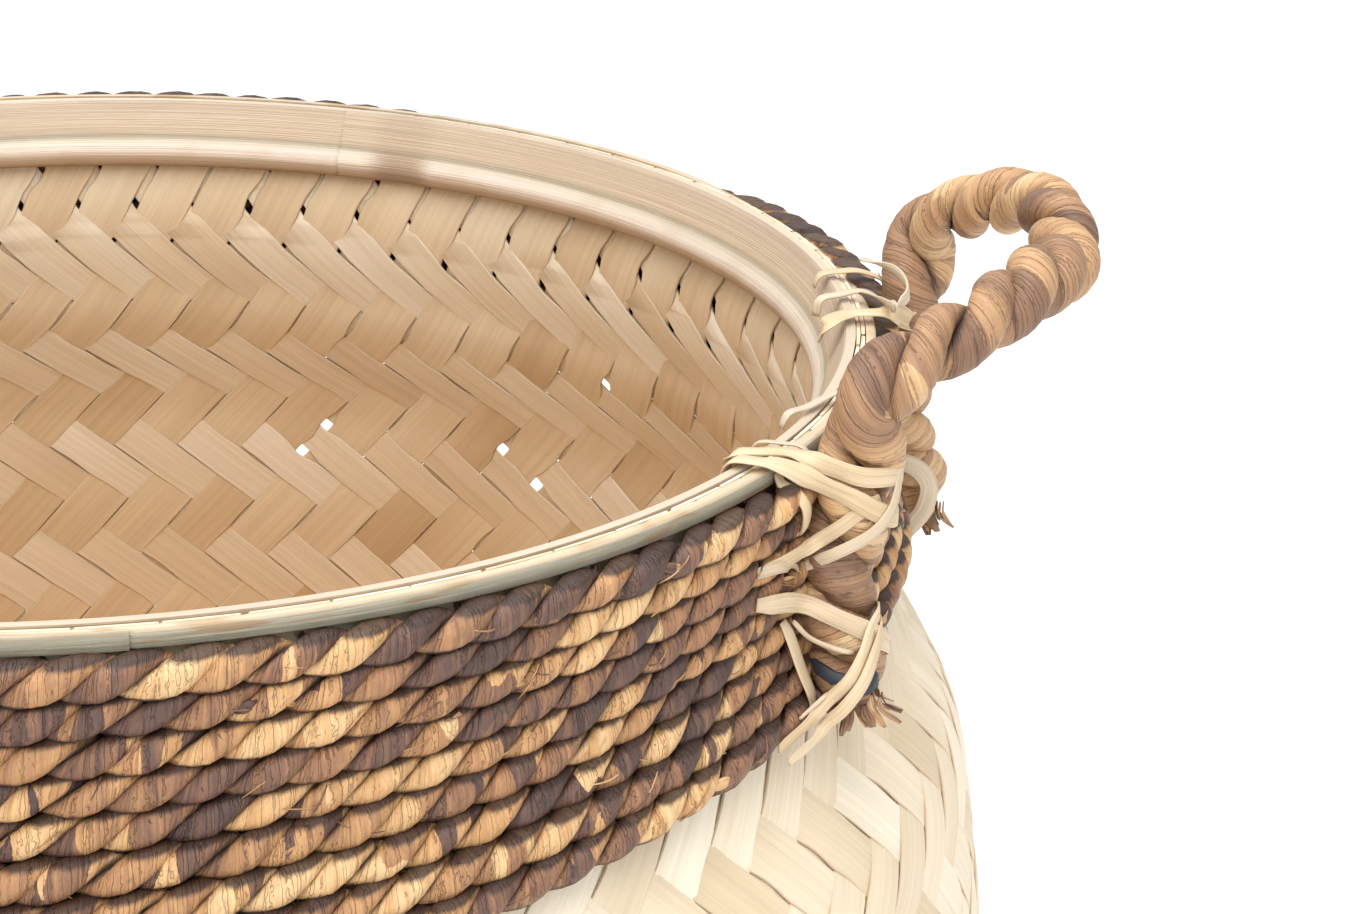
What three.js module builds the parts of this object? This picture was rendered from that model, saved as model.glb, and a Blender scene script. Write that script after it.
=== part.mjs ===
// Bamboo basket with a rope-wound neck and two rope handles.
// Millimetres, +Z up. The origin is on the floor under the middle of the base.
// The handles stand at +X and -X, and the front is -Y.
import * as THREE from 'three';

// Woven body: radii of the outside of the weave, depths measured down from the top of the rim
const BASKET_HEIGHT = 320;
const RIM_RADIUS = 189.3;
const NECK_RADIUS = 185.6;
const NECK_DEPTH = 28;
const FLARE_RADIUS = 195.8;
const FLARE_DEPTH = 62;
const SHOULDER_RADIUS = 217.2;
const SHOULDER_DEPTH = 107;
const BELLY_RADIUS = 223.8;
const BELLY_DEPTH = 175;
const LOWER_BELLY_RADIUS = 204;
const LOWER_BELLY_DEPTH = 258;
const WALL_THICKNESS = 1.8;
const WEAVE_TOP_DEPTH = 0.4;

// Base: a flat square with rounded corners that turns into the round belly
const BASE_HALF_SIDE = 148;
const BASE_EDGE_RADIUS = 24;
const BASE_EDGE_TURN = Math.PI / 3;
const BASE_CORNER_SHARE = 1.2123;
const ROUND_FROM_HEIGHT = 150;

// Rim hoops: a thick split-bamboo hoop inside the weave and a thin skin hoop outside it
const INNER_HOOP_HEIGHT = 18;
const INNER_HOOP_TOP_THICKNESS = 2.2;
const INNER_HOOP_BULGE = 7.2;
const INNER_HOOP_BULGE_AT_SHARE = 0.76;
const INNER_HOOP_LIP_AT_SHARE = 0.94;
const INNER_HOOP_LIP_SHARE = 0.8;
const INNER_HOOP_BOTTOM_SHARE = 0.45;
const OUTER_HOOP_HEIGHT = 4.2;
const OUTER_HOOP_THICKNESS = 2.3;
const OUTER_HOOP_TOP_DEPTH = 0.1;
const OUTER_HOOP_BEVEL = 0.5;
const SCARF_TIP_SHARE = 0.2;
const SCARF_STEPS = 4;
const INNER_SCARF_START_ANGLE = THREE.MathUtils.degToRad(52.5);
const OUTER_SCARF_START_ANGLE = THREE.MathUtils.degToRad(-97.5);

// Neck rope: nine turns wound flat round the neck, tighter by the handles
const ROPE_TURNS = 9;
const ROPE_TOP_DEPTH = 4.4;
const ROPE_PITCH = 6.75;
const ROPE_PITCH_SWING = 1.35;
const ROPE_ROW_GAP = 0.48;
const ROPE_RADIAL_RADIUS = 4.3;
const ROPE_STEPS_PER_TURN = 24;
const ROPE_SIDES = 6;
const ROPE_CROSSING_STEPS = 2;

// Rope handles: a loop that bends at the rim, and two feet tied over the neck rope
const HANDLE_ROPE_RADIUS = 8;
const HANDLE_HALF_ANGLE = THREE.MathUtils.degToRad(16.5);
const HANDLE_HINGE_HEIGHT = 2;
const LOOP_RISE_OUT = 1.2;
const LOOP_RISE_HEIGHT = 11.6;
const LOOP_SPREAD = 2.9;
const LOOP_SHOULDER_REACH = 31.7;
const LOOP_SHOULDER_HALF_WIDTH = 27;
const LOOP_SHOULDER_HEIGHT = 27.3;
const LOOP_REACH = 37.5;
const LOOP_APEX_HEIGHT = 26;
const LOOP_STEPS = 28;
const LOOP_SIDES = 10;
const FOOT_LENGTH = 50;
const FOOT_STEPS = 10;
const FOOT_STATIONS = 6;
const ROUND_CURVE_SEGMENTS = 6;

// Cane lashings, rim ties and the tape on each rope end
const LASHING_WIDTH = 4;
const TIE_WIDTH = 3;
const CANE_THICKNESS = 0.8;
const TAPE_WIDTH = 5.5;
const TAPE_THICKNESS = 0.4;
const TAPE_DEPTH = 43;
const RIM_HOOK_DEPTH = 14;
const RIM_TIE_OFFSET = 14;
const RIM_TIE_END_DEPTH = 16;
const UPPER_LASHING = {
  rimOffset: 29, farOffset: 17, farDepth: 13, returnDepth: 18, endOffset: 21, endDepth: 21,
};
const LOWER_LASHING = {
  startOffset: 26, startDepth: 27, farOffset: 16, farDepth: 38,
  returnDepth: 48.5, endOffset: 20, endDepth: 53,
};

// Clearances
const SEAT_GAP = 0.3;
const HINGE_GAP = 0.35;

const WALL_STEPS = 48;
const WALL_STEP_ANGLE = (2 * Math.PI) / WALL_STEPS;
const CANE_OFFSET = SEAT_GAP + CANE_THICKNESS / 2;
const RIM_RINGS = 3;

const COLOURS = {
  weave: [0xd8b889, 0.75],
  innerHoop: [0xe3cda5, 0.55],
  outerHoop: [0xcfcab0, 0.5],
  neckRope: [0x9a6a45, 0.9],
  handleRope: [0xb5834f, 0.9],
  cane: [0xe8d8b3, 0.6],
  tape: [0x4b5158, 0.7],
};

function material([color, roughness]) {
  return new THREE.MeshStandardMaterial({ color, roughness, metalness: 0, flatShading: true });
}

function namedMesh(name, geometry, finish) {
  const mesh = new THREE.Mesh(geometry, material(finish));
  mesh.name = name;
  return mesh;
}

// A smooth curve through [x, y] stations that never overshoots them
function smoothProfile(stations) {
  const slopes = stations.map((station, i) => {
    if (i === 0 || i === stations.length - 1) {
      const a = stations[i === 0 ? 0 : i - 1];
      const b = stations[i === 0 ? 1 : i];
      return (b[1] - a[1]) / (b[0] - a[0]);
    }
    const before = (station[1] - stations[i - 1][1]) / (station[0] - stations[i - 1][0]);
    const after = (stations[i + 1][1] - station[1]) / (stations[i + 1][0] - station[0]);
    return before * after <= 0 ? 0 : (2 * before * after) / (before + after);
  });
  return (x) => {
    let i = 0;
    while (i < stations.length - 2 && x > stations[i + 1][0]) i += 1;
    const [x0, y0] = stations[i];
    const [x1, y1] = stations[i + 1];
    const span = x1 - x0;
    const t = THREE.MathUtils.clamp((x - x0) / span, 0, 1);
    const startShare = (1 + 2 * t) * (1 - t) * (1 - t);
    const rise = t * (1 - t) * (1 - t) * slopes[i] + t * t * (t - 1) * slopes[i + 1];
    return startShare * y0 + (1 - startShare) * y1 + span * rise;
  };
}

// A closed body over a row of rings with the same number of points, with a fan over each end
function skinOver(rings) {
  const count = rings[0].length;
  const middle = (ring) => ring
    .reduce((sum, point) => sum.add(point), new THREE.Vector3())
    .divideScalar(count);
  const points = [...rings.flat(), middle(rings[0]), middle(rings[rings.length - 1])];
  const startMiddle = rings.length * count;
  const faces = [];
  for (let k = 0; k < count; k += 1) {
    const next = (k + 1) % count;
    const lastRing = (rings.length - 1) * count;
    faces.push([startMiddle, next, k], [startMiddle + 1, lastRing + k, lastRing + next]);
    for (let i = 0; i < rings.length - 1; i += 1) {
      const low = i * count;
      const high = low + count;
      faces.push([low + k, low + next, high + next], [low + k, high + next, high + k]);
    }
  }
  const signedVolume = faces.reduce(
    (sum, [a, b, c]) => sum + points[a].dot(new THREE.Vector3().crossVectors(points[b], points[c])), 0);
  const outward = signedVolume > 0 ? faces : faces.map(([a, b, c]) => [a, c, b]);
  const geometry = new THREE.BufferGeometry();
  const coordinates = points.flatMap((point) => point.toArray());
  geometry.setAttribute('position', new THREE.Float32BufferAttribute(coordinates, 3));
  geometry.setIndex(outward.flat());
  geometry.computeVertexNormals();
  return geometry;
}

function aroundAxis(radius, angle, height) {
  return new THREE.Vector3(radius * Math.cos(angle), radius * Math.sin(angle), height);
}

// The woven body's outside: half side of the section at a height, and how square the section is
const edgeEndHeight = BASE_EDGE_RADIUS * (1 - Math.cos(BASE_EDGE_TURN));
const edgeEndHalfSide = BASE_HALF_SIDE + BASE_EDGE_RADIUS * Math.sin(BASE_EDGE_TURN);
const wallHalfSide = smoothProfile([
  [edgeEndHeight, edgeEndHalfSide],
  [BASKET_HEIGHT - LOWER_BELLY_DEPTH, LOWER_BELLY_RADIUS],
  [BASKET_HEIGHT - BELLY_DEPTH, BELLY_RADIUS],
  [BASKET_HEIGHT - SHOULDER_DEPTH, SHOULDER_RADIUS],
  [BASKET_HEIGHT - FLARE_DEPTH, FLARE_RADIUS],
  [BASKET_HEIGHT - NECK_DEPTH, NECK_RADIUS],
  [BASKET_HEIGHT, RIM_RADIUS],
]);

// The section is |x|^power + |y|^power = halfSide^power: a circle at power 2, squarer above it
const circlePower = 2;
const basePower = 1 / (1 / circlePower - Math.log2(BASE_CORNER_SHARE));

function squareness(height) {
  const roundness = THREE.MathUtils.smoothstep(height, 0, ROUND_FROM_HEIGHT);
  return THREE.MathUtils.lerp(basePower, circlePower, roundness);
}

function sectionRing(halfSide, height) {
  const power = squareness(height);
  return Array.from({ length: WALL_STEPS }, (_, k) => {
    const angle = k * WALL_STEP_ANGLE;
    const reach = Math.abs(Math.cos(angle)) ** power + Math.abs(Math.sin(angle)) ** power;
    return aroundAxis(halfSide / reach ** (1 / power), angle, height);
  });
}

function heightsBetween(low, high, steps) {
  return Array.from({ length: steps }, (_, i) => low + ((high - low) * (i + 1)) / steps);
}

function wovenBody() {
  const edgeTurns = [0, 0.34, 0.67, 1].map((share) => share * BASE_EDGE_TURN);
  const wallHeights = [
    ...heightsBetween(edgeEndHeight, BASKET_HEIGHT - LOWER_BELLY_DEPTH, 3),
    ...heightsBetween(BASKET_HEIGHT - LOWER_BELLY_DEPTH, BASKET_HEIGHT - BELLY_DEPTH, 3),
    ...heightsBetween(BASKET_HEIGHT - BELLY_DEPTH, BASKET_HEIGHT - SHOULDER_DEPTH, 2),
    ...heightsBetween(BASKET_HEIGHT - SHOULDER_DEPTH, BASKET_HEIGHT - FLARE_DEPTH, 4),
    ...heightsBetween(BASKET_HEIGHT - FLARE_DEPTH, BASKET_HEIGHT - NECK_DEPTH, 3),
    BASKET_HEIGHT - INNER_HOOP_HEIGHT,
    ...heightsBetween(BASKET_HEIGHT - INNER_HOOP_HEIGHT, BASKET_HEIGHT - WEAVE_TOP_DEPTH, RIM_RINGS),
  ];
  const side = (inset) => {
    const turnRadius = BASE_EDGE_RADIUS - inset;
    const edge = edgeTurns.map((turn) => sectionRing(
      BASE_HALF_SIDE + turnRadius * Math.sin(turn), inset + turnRadius * (1 - Math.cos(turn))));
    const wall = wallHeights.map((height) => sectionRing(wallHalfSide(height) - inset, height));
    return [...edge, ...wall];
  };
  return skinOver([...side(0), ...side(WALL_THICKNESS).reverse()]);
}

function wallRadiusAtDepth(depth) {
  return wallHalfSide(BASKET_HEIGHT - depth);
}

// Depths of the rings that the wall and the inner hoop's back share, from the hoop's lower edge up
const rimRingDepths = [
  INNER_HOOP_HEIGHT,
  ...heightsBetween(BASKET_HEIGHT - INNER_HOOP_HEIGHT, BASKET_HEIGHT - WEAVE_TOP_DEPTH, RIM_RINGS)
    .map((height) => BASKET_HEIGHT - height),
];

// Inner hoop thickness by depth: thin at the top, bulging inwards low down
const innerHoopThickness = smoothProfile([
  [0, INNER_HOOP_TOP_THICKNESS],
  [INNER_HOOP_BULGE_AT_SHARE * INNER_HOOP_HEIGHT, INNER_HOOP_BULGE],
  [INNER_HOOP_LIP_AT_SHARE * INNER_HOOP_HEIGHT, INNER_HOOP_LIP_SHARE * INNER_HOOP_BULGE],
  [INNER_HOOP_HEIGHT, INNER_HOOP_BOTTOM_SHARE * INNER_HOOP_BULGE],
]);

function innerHoopBack(depth) {
  return wallRadiusAtDepth(depth) - WALL_THICKNESS - SEAT_GAP;
}

function innerHoopFace(depth) {
  return innerHoopBack(depth) - innerHoopThickness(depth);
}

// A hoop bent from one strip whose tapered ends lie over each other in a scarf.
// section(from, to) gives [radius, height] points between two shares of its thickness.
function scarfedHoop(section, startAngle) {
  const rings = [];
  for (let i = 0; i <= WALL_STEPS + SCARF_STEPS; i += 1) {
    const along = i <= SCARF_STEPS ? i / SCARF_STEPS : (i - WALL_STEPS) / SCARF_STEPS;
    const cut = THREE.MathUtils.lerp(SCARF_TIP_SHARE, 1 - SCARF_TIP_SHARE, along);
    let outline = section({});
    if (i <= SCARF_STEPS) outline = section({ to: cut });
    if (i >= WALL_STEPS) outline = section({ from: cut });
    const angle = startAngle + i * WALL_STEP_ANGLE;
    rings.push(outline.map(([radius, height]) => aroundAxis(radius, angle, height)));
  }
  return skinOver(rings);
}

// Distance into a thickness at a scarf cut: the starting end stops there, the other begins one gap further
function scarfSpan(thickness, { from = null, to = null }) {
  const cutDepth = (share) => (thickness - SEAT_GAP) * share;
  return [from === null ? 0 : cutDepth(from) + SEAT_GAP, to === null ? thickness : cutDepth(to)];
}

function innerHoop() {
  const backDepths = [...rimRingDepths, 0];
  const faceShares = [0, 0.25, 0.5, INNER_HOOP_BULGE_AT_SHARE, 0.9, 1];
  const faceDepths = faceShares.map((share) => share * INNER_HOOP_HEIGHT);
  const layer = (depth, cut, side) => [
    innerHoopBack(depth) - scarfSpan(innerHoopThickness(depth), cut)[side], BASKET_HEIGHT - depth,
  ];
  const section = (cut) => [
    ...backDepths.map((depth) => layer(depth, cut, 0)),
    ...faceDepths.map((depth) => layer(depth, cut, 1)),
  ];
  return scarfedHoop(section, INNER_SCARF_START_ANGLE);
}

// The outer hoop goes round the widest of the wall that it covers
const coveredDepths = [0, ...rimRingDepths.filter((depth) => depth < INNER_HOOP_HEIGHT / 2)];
const outerHoopBack = Math.max(...coveredDepths.map(wallRadiusAtDepth)) + SEAT_GAP;
const outerHoopFace = outerHoopBack + OUTER_HOOP_THICKNESS;

function outerHoop() {
  const top = BASKET_HEIGHT - OUTER_HOOP_TOP_DEPTH;
  const bottom = BASKET_HEIGHT - OUTER_HOOP_HEIGHT;
  const section = (cut) => {
    const [near, far] = scarfSpan(OUTER_HOOP_THICKNESS, cut);
    const edge = Math.min(OUTER_HOOP_BEVEL, (far - near) / 2);
    return [
      [outerHoopBack + near, bottom],
      [outerHoopBack + far - edge, bottom],
      [outerHoopBack + far, bottom + OUTER_HOOP_BEVEL],
      [outerHoopBack + far, top - OUTER_HOOP_BEVEL],
      [outerHoopBack + far - edge, top],
      [outerHoopBack + near, top],
    ];
  };
  return scarfedHoop(section, OUTER_SCARF_START_ANGLE);
}

// Neck rope
const ropeStepAngle = (2 * Math.PI) / ROPE_STEPS_PER_TURN;
const ropeFlatReach = ROPE_RADIAL_RADIUS * Math.cos(Math.PI / ROPE_SIDES);

function ropePitch(angle) {
  return ROPE_PITCH - ROPE_PITCH_SWING * Math.cos(2 * angle);
}

// The rope's flat side lies against the wall, which may be widest at either edge of it
function ropeCentreRadius(depth) {
  const flatReach = (ROPE_PITCH + ROPE_PITCH_SWING) / 4;
  const wall = Math.max(wallRadiusAtDepth(depth - flatReach), wallRadiusAtDepth(depth + flatReach));
  const clear = wall + SEAT_GAP + ropeFlatReach;
  return Math.max(clear / Math.cos(ropeStepAngle / 2), outerHoopBack + ropeFlatReach);
}

function neckRope() {
  const crossingShare = ROPE_CROSSING_STEPS / ROPE_STEPS_PER_TURN;
  const startAngle = Math.PI + (ROPE_CROSSING_STEPS / 2) * ropeStepAngle;
  const stepCount = ROPE_TURNS * ROPE_STEPS_PER_TURN - ROPE_CROSSING_STEPS;
  const rings = [];
  for (let i = 0; i <= stepCount; i += 1) {
    const angle = startAngle + i * ropeStepAngle;
    const turn = Math.floor(i / ROPE_STEPS_PER_TURN);
    const along = i / ROPE_STEPS_PER_TURN - turn;
    const crossed = Math.max(0, (along - 1 + crossingShare) / crossingShare);
    const depth = ROPE_TOP_DEPTH + ropePitch(angle) * (turn + crossed + 0.5);
    const upRadius = (ropePitch(angle) - ROPE_ROW_GAP) / 2;
    const centre = ropeCentreRadius(depth);
    rings.push(Array.from({ length: ROPE_SIDES }, (_, k) => {
      const turnRound = (2 * Math.PI * (k + 0.5)) / ROPE_SIDES + Math.PI / ROPE_SIDES;
      const radius = centre + ROPE_RADIAL_RADIUS * Math.sin(turnRound);
      return aroundAxis(radius, angle, BASKET_HEIGHT - depth + upRadius * Math.cos(turnRound));
    }));
  }
  reportLeastGap(rings);
  return skinOver(rings);
}

function reportLeastGap(rings) {
  let least = Infinity;
  for (let i = 0; i < rings.length; i += 1) {
    for (let j = i + ROPE_STEPS_PER_TURN / 2; j < rings.length; j += 1) {
      for (const a of rings[i]) {
        for (const b of rings[j]) least = Math.min(least, a.distanceTo(b));
      }
    }
  }
  console.log(`neck rope: least gap between its turns ${least.toFixed(2)} mm`);
}

// Outside of the faceted neck rope at an angle, the furthest out that a strip of a given width meets
function ropeSurface(angle, depth, reach = LASHING_WIDTH / 2) {
  const facet = THREE.MathUtils.euclideanModulo(angle, ropeStepAngle) - ropeStepAngle / 2;
  const centres = [-reach, 0, reach].map((offset) => ropeCentreRadius(depth + offset));
  const widest = Math.max(...centres) + ropeFlatReach;
  return (widest * Math.cos(ropeStepAngle / 2)) / Math.cos(facet);
}

// Handles
const footTopDepth = HANDLE_ROPE_RADIUS + HINGE_GAP - HANDLE_HINGE_HEIGHT;
const footEndDepth = footTopDepth + FOOT_LENGTH;

function footCentreRadius(depth) {
  const seatDepths = [depth - HANDLE_ROPE_RADIUS, depth, depth + HANDLE_ROPE_RADIUS / 2];
  const seat = Math.max(...seatDepths.map(ropeCentreRadius));
  return seat + ropeFlatReach + SEAT_GAP + HANDLE_ROPE_RADIUS;
}

const hingeRadius = footCentreRadius(footTopDepth);

// The four feet: the handle's direction, and which way along the rim leads away from the handle's middle
const HANDLES = [
  { hand: 'right', angle: 0, ends: [['front', -1], ['back', 1]] },
  { hand: 'left', angle: Math.PI, ends: [['front', 1], ['back', -1]] },
];

function footAngle(handleAngle, away) {
  return handleAngle + away * HANDLE_HALF_ANGLE;
}

function handleLoop(handleAngle) {
  const hingeReach = hingeRadius * Math.cos(HANDLE_HALF_ANGLE);
  const hingeHalfWidth = hingeRadius * Math.sin(HANDLE_HALF_ANGLE);
  const hingeHeight = BASKET_HEIGHT + HANDLE_HINGE_HEIGHT;
  const half = [
    [hingeReach, hingeHalfWidth, hingeHeight],
    [hingeReach + LOOP_RISE_OUT, hingeHalfWidth + LOOP_SPREAD, hingeHeight + LOOP_RISE_HEIGHT],
    [hingeReach + LOOP_SHOULDER_REACH, LOOP_SHOULDER_HALF_WIDTH, hingeHeight + LOOP_SHOULDER_HEIGHT],
  ];
  const apex = [hingeReach + LOOP_REACH, 0, hingeHeight + LOOP_APEX_HEIGHT];
  const mirrored = half.map(([x, y, z]) => [x, -y, z]).reverse();
  const curve = new THREE.CatmullRomCurve3([...half, apex, ...mirrored].map((p) => new THREE.Vector3(...p)));
  const frames = curve.computeFrenetFrames(LOOP_STEPS, false);
  const ring = (i, push, radius) => {
    const centre = curve.getPointAt(i / LOOP_STEPS).addScaledVector(frames.tangents[i], push);
    return Array.from({ length: LOOP_SIDES }, (_, k) => {
      const angle = (2 * Math.PI * k) / LOOP_SIDES;
      return centre.clone()
        .addScaledVector(frames.normals[i], radius * Math.cos(angle))
        .addScaledVector(frames.binormals[i], radius * Math.sin(angle));
    });
  };
  const endTurns = [0.9, 0.6, 0.3].map((share) => share * (Math.PI / 2));
  const roundedEnd = (i, direction) => endTurns.map((turn) => ring(
    i, direction * HANDLE_ROPE_RADIUS * Math.sin(turn), HANDLE_ROPE_RADIUS * Math.cos(turn)));
  const rings = [
    ...roundedEnd(0, -1),
    ...Array.from({ length: LOOP_STEPS + 1 }, (_, i) => ring(i, 0, HANDLE_ROPE_RADIUS)),
    ...roundedEnd(LOOP_STEPS, 1).reverse(),
  ];
  return skinOver(rings).rotateZ(handleAngle);
}

// A point by its distance along the rim from a foot, away from the handle's middle, its radius and its depth
function besideFoot(foot, offset, radius, depth) {
  return aroundAxis(radius, foot.angle + (foot.away * offset) / hingeRadius, BASKET_HEIGHT - depth);
}

// An outline swept along a stretch of the foot's own line, between two depths
function alongFoot(foot, outline, fromDepth, toDepth, steps) {
  const shares = Array.from({ length: FOOT_STATIONS + 1 }, (_, i) => i / FOOT_STATIONS);
  const wholeLine = new THREE.CatmullRomCurve3(shares.map((share) => {
    const depth = footTopDepth + FOOT_LENGTH * share;
    return besideFoot(foot, 0, footCentreRadius(depth), depth);
  }));
  const [from, to] = [fromDepth, toDepth].map((depth) => (depth - footTopDepth) / FOOT_LENGTH);
  const stretch = shares.map((share) => wholeLine.getPoint(THREE.MathUtils.lerp(from, to, share)));
  return new THREE.ExtrudeGeometry(outline, {
    steps,
    curveSegments: ROUND_CURVE_SEGMENTS,
    bevelEnabled: false,
    extrudePath: new THREE.CatmullRomCurve3(stretch),
  });
}

function footRope(foot) {
  const outline = new THREE.Shape().absarc(0, 0, HANDLE_ROPE_RADIUS, 0, 2 * Math.PI);
  return alongFoot(foot, outline, footTopDepth, footEndDepth, FOOT_STEPS);
}

// The tape's outer side starts at its depth: where the foot leans out, its line is covered from further down
function endTape(foot) {
  const leanOver = footCentreRadius(TAPE_DEPTH + TAPE_WIDTH) - footCentreRadius(TAPE_DEPTH);
  const topDepth = TAPE_DEPTH + (HANDLE_ROPE_RADIUS * leanOver) / TAPE_WIDTH;
  const inner = HANDLE_ROPE_RADIUS + SEAT_GAP;
  const outline = new THREE.Shape().absarc(0, 0, inner + TAPE_THICKNESS, 0, 2 * Math.PI);
  outline.holes.push(new THREE.Path().absarc(0, 0, inner, 0, 2 * Math.PI));
  return alongFoot(foot, outline, topDepth, topDepth + TAPE_WIDTH, 2);
}

// A flat strip along [offset, radius, depth] points, each with the way its face looks in the same terms
function flatStrip(foot, route, width) {
  const places = route.map(({ at }) => besideFoot(foot, ...at));
  const rings = places.map((place, i) => {
    const [offset, radius, depth] = route[i].at;
    const [lookAlong, lookOut, lookDown] = route[i].look;
    const looksAt = besideFoot(foot, offset + lookAlong, radius + lookOut, depth + lookDown);
    const face = looksAt.sub(place).normalize();
    const after = places[Math.min(i + 1, places.length - 1)];
    const run = after.clone().sub(places[Math.max(i - 1, 0)]).normalize();
    const across = new THREE.Vector3().crossVectors(run, face).normalize().multiplyScalar(width / 2);
    const up = new THREE.Vector3().crossVectors(across, run).normalize().multiplyScalar(CANE_THICKNESS / 2);
    return [[1, 1], [-1, 1], [-1, -1], [1, -1]].map(([side, lift]) => place.clone()
      .addScaledVector(across, side)
      .addScaledVector(up, lift));
  });
  return skinOver(rings);
}

// Where a strip crosses straight over the two hoops, from inside the basket to outside.
// The hoop's facets come nearest to the axis halfway along, so the strip keeps clear of them there.
function rimCrossing(offset) {
  const corner = CANE_OFFSET * Math.SQRT1_2;
  const facetShare = Math.cos(WALL_STEP_ANGLE / 2);
  const innerEdge = innerHoopFace(0) * facetShare;
  const upTheFace = [1, 0.8, 0.6, 0.4, 0.2].map((share) => {
    const depth = share * RIM_HOOK_DEPTH;
    const reach = LASHING_WIDTH / 4;
    const slope = (innerHoopFace(depth + reach) - innerHoopFace(depth - reach)) / (2 * reach);
    const radius = innerHoopFace(depth) * facetShare - CANE_OFFSET * Math.hypot(1, slope);
    return { at: [offset, radius, depth], look: [0, -1, slope] };
  });
  return [
    ...upTheFace,
    { at: [offset, innerEdge - corner, -corner], look: [0, -1, -1] },
    { at: [offset, (innerEdge + outerHoopFace) / 2, -CANE_OFFSET], look: [0, 0, -1] },
    { at: [offset, outerHoopFace + CANE_OFFSET, -CANE_OFFSET], look: [0, 0.4, -1] },
    { at: [offset, outerHoopFace + 3 * CANE_OFFSET, -corner], look: [0, 0.8, -1] },
  ];
}

const strapReach = HANDLE_ROPE_RADIUS + SEAT_GAP + TAPE_THICKNESS + CANE_OFFSET;

// A strip laid over a foot from one place to another, in straight runs that touch a round bend over the foot
function overFoot(start, end) {
  const bendSteps = 6;
  const runSteps = 2;
  const count = bendSteps + 2 * runSteps;
  const between = (a, b, share) => [0, 1].map((n) => THREE.MathUtils.lerp(a[n], b[n], share));
  const depthAt = (i) => THREE.MathUtils.lerp(start[2], end[2], i / count);
  const centreAt = (i) => {
    const reach = LASHING_WIDTH / 2;
    return Math.max(...[-reach, 0, reach].map((offset) => footCentreRadius(depthAt(i) + offset)));
  };
  const touch = ([offset, radius], i) => {
    const drop = radius - centreAt(i);
    return Math.atan2(offset, drop) - Math.sign(offset) * Math.acos(strapReach / Math.hypot(offset, drop));
  };
  const from = touch(start, runSteps);
  const to = touch(end, count - runSteps);
  const onBend = (turn, i) => [strapReach * Math.sin(turn), centreAt(i) + strapReach * Math.cos(turn)];
  return Array.from({ length: count + 1 }, (_, i) => {
    const turn = THREE.MathUtils.lerp(from, to, THREE.MathUtils.clamp((i - runSteps) / bendSteps, 0, 1));
    let place = onBend(turn, i);
    if (i < runSteps) place = between(start, onBend(from, runSteps), i / runSteps);
    if (i > count - runSteps) place = between(end, onBend(to, count - runSteps), (count - i) / runSteps);
    return { at: [...place, depthAt(i)], look: [Math.sin(turn), Math.cos(turn), 0] };
  });
}

function onRope(foot, offset, depth) {
  const angle = foot.angle + (foot.away * offset) / hingeRadius;
  return [offset, ropeSurface(angle, depth) + CANE_OFFSET, depth];
}

function upperLashingOver(foot) {
  const { rimOffset, farOffset, farDepth } = UPPER_LASHING;
  const crossing = rimCrossing(rimOffset);
  const over = overFoot(crossing[crossing.length - 1].at, onRope(foot, -farOffset, farDepth));
  return flatStrip(foot, [...crossing, ...over.slice(1)], LASHING_WIDTH);
}

function upperLashingReturn(foot) {
  const { farOffset, returnDepth, endOffset, endDepth } = UPPER_LASHING;
  return flatStrip(
    foot, overFoot(onRope(foot, -farOffset, returnDepth), onRope(foot, endOffset, endDepth)), LASHING_WIDTH);
}

function lowerLashingOver(foot) {
  const { startOffset, startDepth, farOffset, farDepth } = LOWER_LASHING;
  return flatStrip(
    foot, overFoot(onRope(foot, startOffset, startDepth), onRope(foot, -farOffset, farDepth)), LASHING_WIDTH);
}

function lowerLashingReturn(foot) {
  const { farOffset, returnDepth, endOffset, endDepth } = LOWER_LASHING;
  return flatStrip(
    foot, overFoot(onRope(foot, -farOffset, returnDepth), onRope(foot, endOffset, endDepth)), LASHING_WIDTH);
}

function rimTie(foot) {
  const downTheRope = [0, 0.5, 1].map((share) => {
    const depth = THREE.MathUtils.lerp(ROPE_TOP_DEPTH, RIM_TIE_END_DEPTH, share);
    return { at: onRope(foot, RIM_TIE_OFFSET, depth), look: [0, 1, share === 0 ? -1 : 0] };
  });
  return flatStrip(foot, [...rimCrossing(RIM_TIE_OFFSET), ...downTheRope], TIE_WIDTH);
}

const basket = new THREE.Group();
basket.add(
  namedMesh('woven_body', wovenBody(), COLOURS.weave),
  namedMesh('inner_rim_hoop', innerHoop(), COLOURS.innerHoop),
  namedMesh('outer_rim_hoop', outerHoop(), COLOURS.outerHoop),
  namedMesh('neck_rope', neckRope(), COLOURS.neckRope),
);

for (const { hand, angle, ends } of HANDLES) {
  basket.add(namedMesh(`${hand}_handle_loop`, handleLoop(angle), COLOURS.handleRope));
  for (const [end, away] of ends) {
    const foot = { angle: footAngle(angle, away), away };
    const name = `${hand}_${end}`;
    basket.add(
      namedMesh(`${name}_handle_foot`, footRope(foot), COLOURS.handleRope),
      namedMesh(`${name}_end_tape`, endTape(foot), COLOURS.tape),
      namedMesh(`${name}_upper_lashing_over`, upperLashingOver(foot), COLOURS.cane),
      namedMesh(`${name}_upper_lashing_return`, upperLashingReturn(foot), COLOURS.cane),
      namedMesh(`${name}_lower_lashing_over`, lowerLashingOver(foot), COLOURS.cane),
      namedMesh(`${name}_lower_lashing_return`, lowerLashingReturn(foot), COLOURS.cane),
      namedMesh(`${name}_rim_tie`, rimTie(foot), COLOURS.cane),
    );
  }
}

export default basket;
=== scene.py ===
"""A bamboo basket with a rope-wound neck and two rope handles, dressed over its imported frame.

Lengths are metres. The basket stands on the floor at the origin, its handles at +X and -X.
"""

import logging
import math
from collections.abc import Callable
from dataclasses import dataclass
from enum import Enum

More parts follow.
